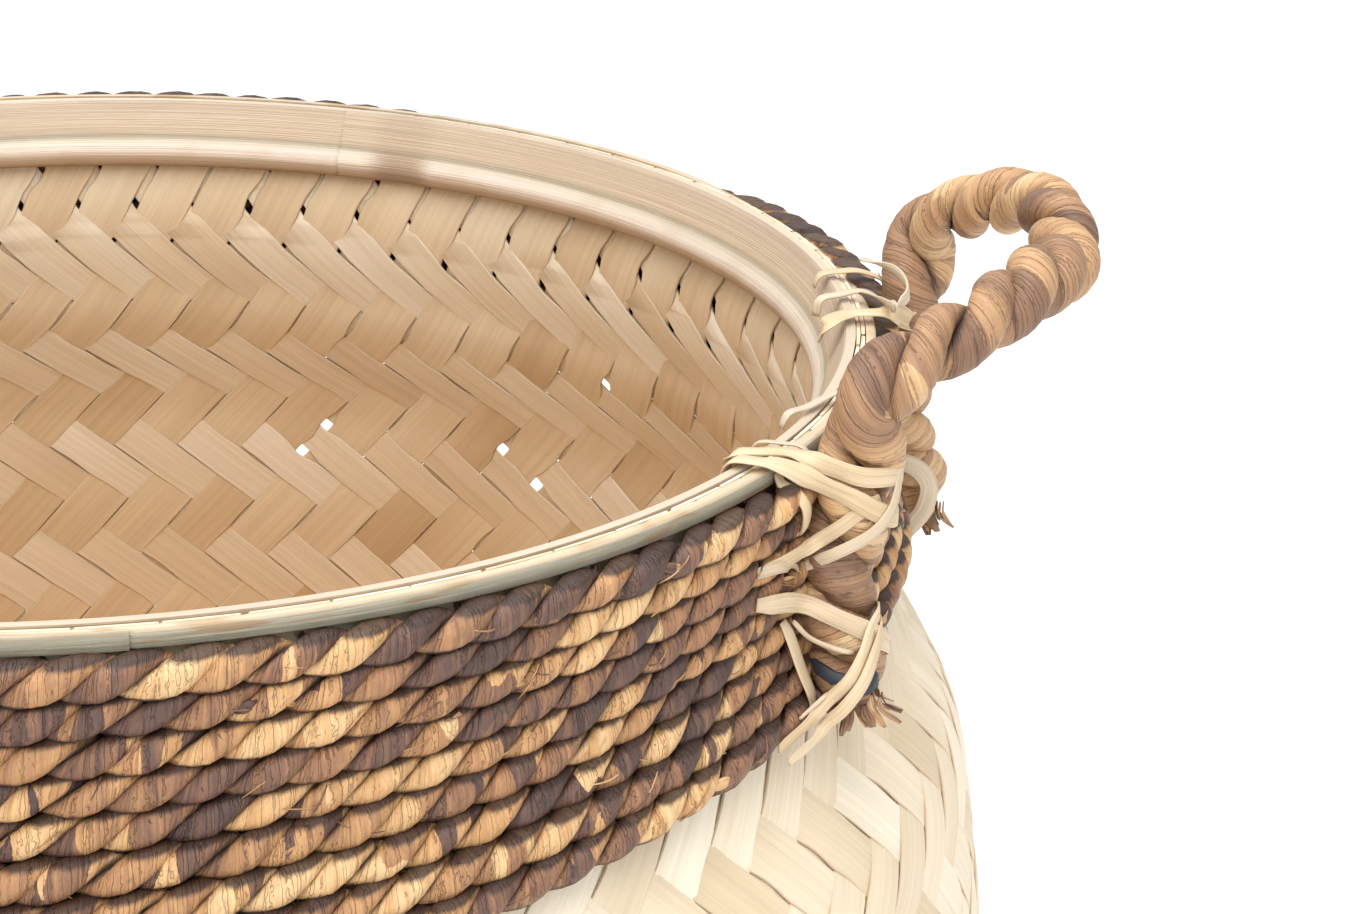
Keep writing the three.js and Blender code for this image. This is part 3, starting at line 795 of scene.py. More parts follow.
@dataclass
class Weave:
    """Seventy-two split-bamboo strips in two families, over two and under two.

    A strip runs from the rim down the wall, slantwise over the square base, and up the wall again.
    Places on the base are counted in strip pitches from its middle. On the wall a strip moves one
    pitch round the basket for each unit of rise. A row of corners between strips lies at each half
    unit of rise. holes holds the angle in degrees and the depth of each see-through hole.
    """

    form: BodyForm
    strips_round: int = 72
    base_reach: float = 0.160
    wall_strip_width: float = 13.3 * MM
    width_blend_height: float = 0.06
    corner_growth: float = 0.17
    strip_gap: float = 0.28 * MM
    narrowing: float = 0.9 * MM
    least_half_width: float = 1.5 * MM
    wander_step: float = 5
    narrowing_step: float = 3.5
    least_gap_share: float = 0.35
    thickness: float = 0.72 * MM
    crown: float = 0.22 * MM
    bevel: float = 0.3 * MM
    edge_drop: float = 0.2
    sharp_edge: float = math.radians(40)
    layer_offset: float = 0.46 * MM
    rim_twist: float = math.radians(15.5)
    rise_past_rim: float = 0.5
    steps_per_crossing: int = 6
    gap_row_depth: float = 18.6 * MM
    dark_gap_rows: int = 3
    dark_gap_pinch: float = 1.35 * MM
    dark_gap_full: float = 1.05
    dark_gap_fade: float = 0.17
    dark_gap_spread: Pair = (0.15, 1.2)
    hole_pinch: float = 1.45 * MM
    pinch_reach: float = 3.8 * MM
    holes: tuple[Pair, ...] = (
        (86.9, 0.110), (87.7, 0.117), (58.1, 0.076), (72.2, 0.109), (70.9, 0.118),
    )

    def __post_init__(self) -> None:
        """Works out how fast the strips climb and where they stand apart."""
        self.quarter = self.strips_round / 4
        self.half = self.quarter / 2
        self.pitch = self.base_reach / self.half
        form = self.form
        samples, steepest = 800, 0.999
        self.ways = np.linspace(self.base_reach, form.way[-1], samples)
        side, level = (np.interp(self.ways, form.way, column) for column in form.line.T)
        growth = 1 + self.corner_growth * (1 - form.roundness(level))
        spacing = FULL_TURN * side * growth / self.strips_round
        base_width = self.pitch * math.sqrt(0.5)
        widened = smoothstep(level, 0, self.width_blend_height)
        width = base_width + (self.wall_strip_width - base_width) * widened
        lean = np.arccos(np.clip(width / spacing, 0, steepest))
        climb = np.tan(lean) / spacing
        rise = np.concatenate([[0], np.cumsum((climb[1:] + climb[:-1]) / 2 * np.diff(self.ways))])
        row_rise = float(np.interp(form.way_at_depth(self.gap_row_depth), self.ways, rise))
        self.top_row = round(2 * row_rise)
        self.rise = rise * (self.top_row / 2) / row_rise
        self.rim_rise = float(np.interp(form.rim_way, self.ways, self.rise))
        self.pinches = self._pinches()

    def wall_way(self, rise: Array) -> Array:
        """The way along the body's line at a rise, below zero on the base."""
        on_base = self.base_reach + rise * self.pitch
        return np.where(rise < 0, on_base, np.interp(rise, self.rise, self.ways))

    def wall_angle(self, around: Array, way: Array) -> Array:
        """The angle of a place on the wall.

        Args:
            around: How far round the basket it lies from +X, in pitches.
            way: The way along the body's line, which decides how square the wall is there.

        Returns:
            The angle.
        """
        turned = around + self.half
        side = np.floor(turned / self.quarter)
        within = turned - side * self.quarter - self.half
        square = side * QUARTER_TURN + np.arctan(within / self.half)
        even = around * FULL_TURN / self.strips_round
        level = np.interp(way, self.form.way, self.form.line[:, 1])
        return square + (even - square) * self.form.roundness(level)

    def twist(self, way: Array) -> Array:
        """How far the weave has turned about the basket's axis at a way along the line."""
        share = (way - self.base_reach) / (self.form.rim_way - self.base_reach)
        return self.rim_twist * np.maximum(0, share)

    def strip_line(self, family: Family, strip: float, offset: float, place: Array) -> tuple[Array, Array]:
        """A line beside a strip's middle.

        Args:
            family: The strip's family.
            strip: The strip's number, a half with its sign, by the base's diagonal.
            offset: How far beside the middle, in pitches.
            place: The places along the strip, in pitches, 0 at the diagonal.

        Returns:
            The angles and the ways along the body's line.
        """
        line = strip + offset
        x, y = (line + place) / 2, (line - place) / 2
        exit_place = 2 * self.half - line * np.sign(strip)
        wall_rise = (np.abs(place) - exit_place) / 2
        on_wall = wall_rise > 0
        if strip > 0:
            ahead = line - self.half - wall_rise
            behind = self.quarter + self.half - line + wall_rise
        else:
            ahead = 3 * self.quarter + self.half + line + wall_rise
            behind = 2 * self.quarter - self.half - line - wall_rise
        base_rise = np.maximum(np.abs(x), np.abs(y)) - self.half
        way = self.wall_way(np.where(on_wall, wall_rise, base_rise))
        wall_angle = self.wall_angle(np.where(place > 0, ahead, behind), way)
        angle = np.where(on_wall, wall_angle, np.arctan2(y, x))
        return angle * family.value + self.twist(way), way

    def crossing(self, family: Family, strip: float, place: Array) -> tuple[Array, Array]:
        """Which side of the wall a strip lies on at its crossings, and its lean there.

        Args:
            family: The strip's family.
            strip: The strip's number.
            place: The crossings' places along the strip.

        Returns:
            The side, +1 outside and -1 inside, and the lean, +1 where the strip leans to the right
            as seen from outside.
        """
        x, y = (strip + place) / 2, (strip - place) / 2
        past_base = np.abs(place) - (2 * self.half - abs(strip))
        on_base = past_base < 0
        base_row = np.round(2 * (np.maximum(np.abs(x), np.abs(y)) - self.half))
        row = np.where(on_base, base_row, past_base)
        base_lean = np.where(np.abs(y) > np.abs(x), 1, -1)
        wall_lean = np.where(place > 0, -1, 1) * np.sign(strip)
        lean = np.where(on_base, base_lean, wall_lean) * family.value
        right_outside = np.mod(row - self.top_row + 1, 4) < 2
        return np.where(right_outside, lean, -lean), lean

    def layer(self, family: Family, strip: float, place: Array) -> tuple[Array, Array]:
        """Which side of the wall a strip lies on between its crossings, on a smooth curve through them.

        Args:
            family: The strip's family.
            strip: The strip's number.
            place: Places along the strip.

        Returns:
            The side, past 1 where the strip bows, and the lean at the crossing ahead.
        """
        low = np.floor(place - 0.5) + 0.5
        share = place - low
        (before, _), (here, _), (after, lean), (later, _) = (
            self.crossing(family, strip, low + step) for step in (-1, 0, 1, 2))
        cubic = 3 * (here - after) + later - before
        square = 2 * before - 5 * here + 4 * after - later
        return here + 0.5 * share * (after - before + share * (square + share * cubic)), lean

    def _pinches(self) -> list[tuple[Array, float]]:
        """Finds where the strips stand apart: at the dark gaps by the neck and at the holes.

        Returns:
            Each place, and how far the strips' edges are drawn in there.
        """
        found = []
        rng = np.random.default_rng(5)
        for row in range(self.top_row + 1, self.top_row - self.dark_gap_rows, -1):
            arounds = np.arange(self.strips_round) + (row % 2) / 2
            way = np.full(self.strips_round, float(self.wall_way(np.array(row / 2))))
            angles = self.wall_angle(arounds, way) + self.twist(way)
            fade = min(1, self.dark_gap_full - self.dark_gap_fade * (self.top_row - row))
            for point in self.form.at(angles, way):
                found.append((point, self.dark_gap_pinch * fade * rng.uniform(*self.dark_gap_spread)))
        for degrees, depth in self.holes:
            found.append((self._nearest_corner(math.radians(degrees), depth), self.hole_pinch))
        return found

    def _nearest_corner(self, angle: float, depth: float) -> Array:
        """The corner between four strips that lies nearest to a place on the wall.

        Args:
            angle: The place's angle.
            depth: Its depth below the rim's top.

        Returns:
            The corner's point.
        """
        way = self.form.way_at_depth(depth)
        row = round(2 * float(np.interp(way, self.ways, self.rise)))
        corner_way = self.wall_way(np.array(row / 2))
        twist = self.twist(corner_way)
        shift = (row % 2) / 2
        around = (angle - twist) * self.strips_round / FULL_TURN
        around = np.round(around - shift) + shift
        return self.form.at(self.wall_angle(around, corner_way) + twist, corner_way)

    def _pinch(self, points: Array) -> Array:
        """How far a strip's edge is drawn in.

        Args:
            points: Points along the edge.

        Returns:
            A length for each point.
        """
        drawn = np.zeros(len(points))
        for centre, amount in self.pinches:
            near = np.abs(points[:, 2] - centre[2]) < 3 * self.pinch_reach
            distance = np.linalg.norm(points[near] - centre, axis=1)
            drawn[near] = np.maximum(drawn[near], amount * np.exp(-(distance / self.pinch_reach) ** 4))
        return drawn

    def _half_width(self, edge: Array, reach: Array, place: Array, seed: int, side: int) -> Array:
        """How far a strip reaches to one side.

        Args:
            edge: The line half way to the next strip.
            reach: How far away that line lies.
            place: The places along the strip.
            seed: The strip's own number.
            side: +1 for the side on which the strips' numbers grow, -1 for the other.

        Returns:
            The half widths, which the corners with other strips don't narrow.
        """
        wander = swing(place / self.wander_step + seed * 7.3, 11 + side) * 0.5 + 0.5
        narrow = np.clip(swing(place / self.narrowing_step + seed * 3.1, 13 + side), 0, 1) ** 1.5
        between_corners = 4 * (place % 1) * (1 - place % 1)
        gap_share = self.least_gap_share + (1 - self.least_gap_share) * wander
        gap = self.strip_gap * gap_share + self.narrowing * narrow
        return np.maximum(reach - (gap * between_corners + self._pinch(edge)), self.least_half_width)

    def strip(self, skin: Skin, family: Family, strip: float, seed: int) -> None:
        """Adds one strip, from rim to rim.

        Args:
            skin: Where to add it.
            family: The strip's family.
            strip: The strip's number.
            seed: The whole number that its own unevenness and tone come from.
        """
        reach = 2 * self.half - abs(strip) + 2 * (self.rim_rise + self.rise_past_rim)
        place = np.linspace(-reach, reach, int(2 * reach * self.steps_per_crossing))
        middle_angle, way = self.strip_line(family, strip, 0, place)
        outward = self.form.outward(middle_angle, way)
        middle = self.form.at(middle_angle, way)
        across = unit(np.cross(outward, unit(np.gradient(middle, axis=0))))
        edges = []
        for side in (-1, 1):
            edge = self.form.at(*self.strip_line(family, strip, side / 2, place))
            beside = np.abs(np.einsum("ij,ij->i", edge - middle, across))
            edges.append(self._half_width(edge, beside, place, seed, side))
        growing = self.form.at(*self.strip_line(family, strip, 0.25, place))
        sense = np.sign(np.einsum("ij,ij->i", growing - middle, across))
        left, right = (width * sense for width in edges)
        side, lean = self.layer(family, strip, place)
        lift = self.layer_offset * side - self.form.wall_thickness / 2
        base = middle + outward * lift[:, None]
        half, bevel = self.thickness / 2, self.bevel * sense
        edge_height = -self.edge_drop * half
        section = [
            (-left, edge_height), (-left + bevel, half), ((right - left) / 2, half + self.crown),
            (right - bevel, half), (right, edge_height), (right - bevel, -half), (-left + bevel, -half),
        ]
        rings = np.stack([
            base + across * wide[:, None] + outward * (np.ones_like(wide) * high)[:, None]
            for wide, high in section], 1)
        wide = np.stack([wide for wide, _ in section], 1)
        outer_share = np.array([0.5, 1, 1, 1, 0.5, 0, 0])
        # How much painted shade each point of the section takes: most on the strip's sides, which face the
        # gaps between strips.
        edge_shade_share = np.array([1, 0.85, 0, 0.85, 1, 0.85, 0.85])
        number = (seed * SPREAD_STEP) % 1
        # 1 where the inside takes the darker, painted-shade copy of its colour.
        shaded_steep = np.where(lean > 0, 0.0, 1.0)[:, None]
        strip_place, strip_look = (
            np.stack(np.broadcast_arrays(*parts), -1)
            for parts in (
                (lengths_along(middle)[:, None], wide, number), (outer_share, shaded_steep + 0 * wide, edge_shade_share)))
        rings, strip_place, strip_look = self._cut_at_rim(rings, strip_place, strip_look)
        skin.add_tube(rings, strip_place=strip_place, strip_look=strip_look)

    def _cut_at_rim(self, rings: Array, *layers: Array) -> list[Array]:
        """Ends each long edge of a strip at the height at which the rim is cut off.

        Args:
            rings: The strip's points, which run past the rim at both ends.
            layers: What is stored on the points.

        Returns:
            The points and the layers, taken again from end to end.
        """
        top = self.form.height - self.form.weave_top_depth
        taken = [np.empty_like(values) for values in (rings, *layers)]
        for edge in range(rings.shape[1]):
            height = rings[:, edge, 2]
            below = np.flatnonzero(height < top)
            first, last = below[0], below[-1]
            start = first - (top - height[first]) / (height[first - 1] - height[first])
            end = last + (top - height[last]) / (height[last + 1] - height[last])
            place = np.linspace(start, end, len(rings))
            low = np.clip(np.floor(place).astype(int), 0, len(rings) - 2)
            share = (place - low)[:, None]
            for new, values in zip(taken, (rings, *layers)):
                new[:, edge] = values[low, edge] * (1 - share) + values[low + 1, edge] * share
        return taken

    def build(self) -> None:
        """Makes the strips, in four pieces."""
        material = SplitBamboo().material()
        numbers = np.arange(-self.half * 2 + 0.5, self.half * 2, 1)
        for family in Family:
            for part, chosen in enumerate(np.array_split(numbers, 2), start=1):
                skin = Skin()
                for number in chosen:
                    self.strip(skin, family, number, int(number * 2 + 200 + 500 * family.value))
                name = f"{family.name.lower()}_strips_{part}"
                piece = skin.build(name, material, "weave", sharp=self.sharp_edge)
                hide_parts("woven_body")


@dataclass
class RimHoops:
    """The thick hoop inside the weave and the thin skin hoop outside it, each with a scarf joint.

    inner_bulges holds depths as shares of the inner hoop's height, and how thick it is at each as a
    share of inner_bulge.
    """

    form: BodyForm
    inner_height: float = 18.0 * MM
    inner_top: float = 2.2 * MM
    inner_bulge: float = 7.2 * MM
    inner_bulges: tuple[Pair, ...] = ((0.5, 0.74), (0.76, 1.0), (0.94, 0.8), (1.0, 0.45))
    inner_length_radius: float = 0.185
    inner_stain: float = 0.25
    inner_face_edges: Pair = (0.05, 0.97)
    wander: float = 0.25 * MM
    wander_rate: float = 4.0
    groove_share: float = 0.55
    groove_reach: float = 0.05
    groove_depth: float = 0.45 * MM
    knuckle_angle: float = math.radians(76.7)
    knuckle_reach: float = math.radians(2.7)
    knuckle_depth: float = 0.9 * MM
    knuckle_flat: Pair = (0.5, 0.7)
    knuckle_dark: Pair = (0.45, 0.62)
    knuckle_least_dark: float = 0.35
    seat_gap: float = 0.3 * MM
    outer_top_depth: float = 0.1 * MM
    outer_bottom_depth: float = 4.2 * MM
    outer_thickness: float = 2.3 * MM
    outer_bevel: float = 0.5 * MM
    outer_length_radius: float = 0.19
    outer_stain: float = 0.75
    dip: float = 1.8 * MM
    dip_angle: float = math.radians(28)
    dip_reach: float = math.radians(17)
    scarf_turn: float = math.radians(30)
    tip_share: float = 0.2
    inner_scarf_start: float = math.radians(52.5)
    outer_scarf_start: float = math.radians(-97.5)
    sharp_edge: float = math.radians(50)
    steps: int = 720

    def __post_init__(self) -> None:
        """Works out the inner hoop's thickness by its depth."""
        stations = [
            (share * self.inner_height, bulge * self.inner_bulge) for share, bulge in self.inner_bulges]
        self.inner_thickness = smooth_profile([(0, self.inner_top), *stations])

    def scarf(self, thickness: Array, turned: float) -> tuple[Array, Array]:
        """How far through a thickness a hoop starts and stops.

        Args:
            thickness: The whole thickness.
            turned: How far the hoop has turned from its start, which goes one scarf past a full turn.

        Returns:
            The start and the end, from the back.
        """
        along = turned if turned <= self.scarf_turn else turned - FULL_TURN
        share = self.tip_share + (1 - 2 * self.tip_share) * along / self.scarf_turn
        cut = (thickness - self.seat_gap) * share
        if turned <= self.scarf_turn:
            return 0 * thickness, cut
        if along >= 0:
            return cut + self.seat_gap, thickness
        return 0 * thickness, thickness

    def inner_face(self, shares: Array, thickness: Array, angle: float, knuckle: float) -> Array:
        """The inner hoop's thickness with its face uneven, grooved and flattened at the knuckle.

        Args:
            shares: The depths, as shares of the height.
            thickness: The even thickness at those depths.
            angle: Where the hoop is cut.
            knuckle: How much of the knuckle is there.

        Returns:
            The thickness at each depth.
        """
        uneven = swing(np.full(len(shares), angle * self.wander_rate), 31) * self.wander
        groove = np.exp(-((shares - self.groove_share) / self.groove_reach) ** 2) * self.groove_depth
        flat = knuckle * smoothstep(shares, *self.knuckle_flat) * self.knuckle_depth
        top, bottom = self.inner_face_edges
        return thickness + (uneven - groove - flat) * (shares > top) * (shares < bottom)

    def inner_hoop(self) -> None:
        """Makes the inner hoop."""
        back = np.linspace(1, 0, 8)
        face = np.concatenate([np.linspace(0, 0.42, 6), np.linspace(0.46, 0.66, 8), np.linspace(0.7, 1, 8)])
        rings, places, looks = [], [], []
        for turned in np.linspace(0, FULL_TURN + self.scarf_turn, self.steps):
            angle = self.inner_scarf_start + turned
            knuckle = float(bump(angle, self.knuckle_angle, self.knuckle_reach))
            ring, place, look = [], [], []
            for shares, end in ((back, 0), (face, 1)):
                depth = shares * self.inner_height
                thickness = self.inner_thickness(depth)
                if end:
                    thickness = self.inner_face(shares, thickness, angle, knuckle)
                into = self.scarf(thickness, turned)[end]
                radius = self.form.wall_radius(depth) - self.form.wall_thickness - self.seat_gap - into
                ring.append(around_axis(radius, np.full(len(shares), angle), self.form.height - depth))
                place.append(np.stack([0 * shares + angle * self.inner_length_radius, shares, into], -1))
                least = self.knuckle_least_dark
                marked = knuckle * (least + (1 - least) * smoothstep(shares, *self.knuckle_dark))
                look.append(np.stack([marked, self.inner_stain * shares, 0 * shares], -1))
            for whole, part in ((rings, ring), (places, place), (looks, look)):
                whole.append(np.concatenate(part))
        # The bands are the hoop's own colour down its face, except the last, darkest stop, which is painted
        # shade under the rolled lower edge.
        finish = HoopBamboo("inner_hoop_bamboo", (
            (0.00, (0.54, 0.44, 0.33)), (0.07, (0.48, 0.365, 0.255)), (0.44, (0.47, 0.355, 0.240)),
            (0.53, (0.40, 0.345, 0.245)), (0.60, (0.53, 0.445, 0.345)), (0.68, (0.60, 0.50, 0.41)),
            (0.80, (0.53, 0.40, 0.285)), (0.93, (0.48, 0.34, 0.215)), (1.00, (0.24, 0.15, 0.09))))
        skin = Skin()
        skin.add_tube(np.array(rings), hoop_place=np.array(places), hoop_look=np.array(looks))
        piece = skin.build("inner_rim_hoop_strip", finish.material(), "inner_hoop", sharp=self.sharp_edge)
        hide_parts("inner_rim_hoop")

    def outer_hoop(self) -> None:
        """Makes the outer hoop."""
        back = float(self.form.wall_radius(0)) + self.seat_gap
        bottom = self.form.height - self.outer_bottom_depth
        bevel = self.outer_bevel
        rings, places = [], []
        for turned in np.linspace(0, FULL_TURN + self.scarf_turn, self.steps):
            angle = self.outer_scarf_start + turned
            near, far = self.scarf(np.array(self.outer_thickness), turned)
            edge = min(bevel, float(far - near) / 2)
            dip = self.dip * float(bump(angle, self.dip_angle, self.dip_reach))
            top = self.form.height - self.outer_top_depth - dip
            corners = [
                (near, bottom, 1.0), (far - edge, bottom, 1.0), (far, bottom + bevel, 0.9),
                (far, (top + bottom) / 2, 0.5),
                (far, top - bevel, 0.1), (far - edge, top, 0.0), (near, top, 0.0),
            ]
            along = angle * self.outer_length_radius
            rings.append([around_axis(back + out, angle, height) for out, height, _ in corners])
            places.append([(along, share, float(out)) for out, _, share in corners])
        finish = HoopBamboo("outer_hoop_bamboo", (
            (0.0, (0.60, 0.46, 0.31)), (0.2, (0.47, 0.42, 0.31)), (0.6, (0.41, 0.39, 0.29)),
            (1.0, (0.34, 0.30, 0.21))), wander=0.6)
        skin = Skin()
        look = np.array([0, self.outer_stain, 0])
        skin.add_tube(np.array(rings), hoop_place=np.array(places), hoop_look=look)
        piece = skin.build("outer_rim_hoop_strip", finish.material(), "outer_hoop", sharp=self.sharp_edge)
        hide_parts("outer_rim_hoop")

    def build(self) -> None:
        """Makes both hoops."""
        self.inner_hoop()
        self.outer_hoop()


@dataclass
class TwoStrandRope:
    """A rope of two strands twisted round each other, laid along a line.

    side says where the rope's outer side looks, for each point of the line. lay_length is the way
    in which a strand goes once round, and squeeze is how far the rope may reach up and down.
    fold_shares holds where round the strand each fold of its leaf lies, as a share of a turn, and
    how wide it is. lumps holds how much the strand's size swings and over what way. Each step is
    the way along the rope over which something changes.
    """

    line: Array
    side: Array
    lay_length: Array
    strand_radius: Array
    seed: int
    squeeze: Array | None = None
    sides: int = 16
    strands: int = 2
    axis_share: float = 0.80
    flatness: float = 1.10
    leaf_twist: float = 0.5
    start_turn: float = 0.0
    slip: float = 0.35
    slip_step: float = 0.05
    lumps: tuple[Pair, ...] = ((0.11, 0.011), (0.07, 0.03))
    # How far into the groove, as a share of the strand's radius, the mask for the painted shade takes to grow
    # full.
    groove_depth: float = 1.25
    flat_shade: Pair = (0.62, 1.18)
    fold_shares: tuple[Pair, ...] = ((0.0, 0.30), (0.37, 0.22), (0.68, 0.26))
    fold_wander: float = 0.9
    fold_wander_step: float = 0.02
    fold_strength: float = 0.55
    fold_strength_step: float = 0.016
    fold_depth: float = 0.13
    end_share: float = 0.8

    def strand(self, skin: Skin, number: int) -> None:
        """Adds one strand, whose ends draw in to a round end.

        Args:
            skin: Where to add it.
            number: Which of the strands it is, from 0.
        """
        steps = np.linalg.norm(np.diff(self.line, axis=0), axis=1)
        along = lengths_along(self.line)
        run = unit(np.gradient(self.line, axis=0))
        up = unit(np.cross(self.side, run))
        out = unit(np.cross(run, up))
        seed = self.seed + 17 * number
        lays = np.concatenate([[0], np.cumsum(steps / self.lay_length[1:])])
        slip = swing(along / self.slip_step, seed) * self.slip
        turn = FULL_TURN * (lays + number / self.strands) + slip + self.start_turn
        spoke = out * np.cos(turn)[:, None] + up * np.sin(turn)[:, None]
        middle = self.line + spoke * (self.strand_radius * self.axis_share)[:, None]
        strand_run = unit(np.gradient(middle, axis=0))
        beside = unit(np.cross(strand_run, spoke))
        radial = unit(np.cross(beside, strand_run))
        angle = np.linspace(0, FULL_TURN, self.sides, endpoint=False)
        own_twist = -lays / self.leaf_twist
        folds = self._folds(along, angle, own_twist, seed)
        uneven = sum(
            much * swing(along / step, seed + 3 + lump) for lump, (much, step) in enumerate(self.lumps))
        size = self.strand_radius * (1 + uneven)
        reach = (size * self._ends(along))[:, None] * (1 - self.fold_depth * folds)
        ring = (middle[:, None, :]
                + radial[:, None, :] * (reach * np.cos(angle))[..., None]
                + beside[:, None, :] * (reach * self.flatness * np.sin(angle))[..., None])
        # How deep in the groove between strands, or pressed flat against the next row, a point lies; the
        # leaf's material darkens it there as painted shade.
        inward = np.einsum("ijk,ik->ij", ring - self.line[:, None, :], spoke)
        groove = np.clip(1 - inward / self.strand_radius[:, None], 0, 2) / self.groove_depth
        if self.squeeze is not None:
            ring = self._squeezed(ring, up)
            lift = np.einsum("ijk,ik->ij", ring - self.line[:, None, :], up)
            groove = np.maximum(groove, smoothstep(np.abs(lift) / self.squeeze[:, None], *self.flat_shade))
        leaf_angle = angle[None, :] - FULL_TURN * own_twist[:, None]
        across, through = (size[:, None] * wave(leaf_angle) for wave in (np.cos, np.sin))
        own_number = (number * 0.37 + self.seed * 0.113) % 1
        place, look = (
            np.stack(np.broadcast_arrays(*parts), -1)
            for parts in ((along[:, None], across, through), (np.clip(groove, 0, 1), folds, own_number)))
        skin.add_tube(ring, strand_place=place, strand_look=look)

    def _ends(self, along: Array) -> Array:
        """How far the strand has grown to its full size on its way from either end."""
        from_end, least = np.minimum(along, along[-1] - along), 0.02
        return np.sqrt(np.clip(from_end / (self.end_share * self.strand_radius), least, 1))

    def _folds(self, along: Array, angle: Array, own_twist: Array, seed: int) -> Array:
        """How deep in a fold of its leaf each point of the strand lies.

        Args:
            along: The way along the rope at each ring.
            angle: The angle of each point of a ring.
            own_twist: How often the leaf has turned at each ring.
            seed: The strand's own number.

        Returns:
            The depth from 0 to 1, as (rings, points in a ring).
        """
        folds = np.zeros((len(along), self.sides))
        for fold, (share, width) in enumerate(self.fold_shares):
            wander = self.fold_wander * swing(along / self.fold_wander_step, seed + 20 + fold)
            centre = FULL_TURN * (own_twist + share) + wander
            away = np.angle(np.exp(1j * (angle[None, :] - centre[:, None])))
            change = swing(along / self.fold_strength_step, seed + 30 + fold)
            strength = self.fold_strength + (1 - self.fold_strength) * change
            folds += strength[:, None] * np.exp(-(away / width) ** 2)
        return np.clip(folds, 0, 1)

    def _squeezed(self, ring: Array, up: Array) -> Array:
        """Flattens a strand softly where it meets the rows above and below.

        Args:
            ring: The strand's points, as (rings, points in a ring, 3).
            up: The way up at each ring.

        Returns:
            The points in their new places.
        """
        limit_share, hardness = 1.2, 8
        lift = np.einsum("ijk,ik->ij", ring - self.line[:, None, :], up)
        limit = limit_share * self.squeeze[:, None]
        held = lift / (1 + (np.abs(lift) / limit) ** hardness) ** (1 / hardness)
        return ring + up[:, None, :] * (held - lift)[..., None]


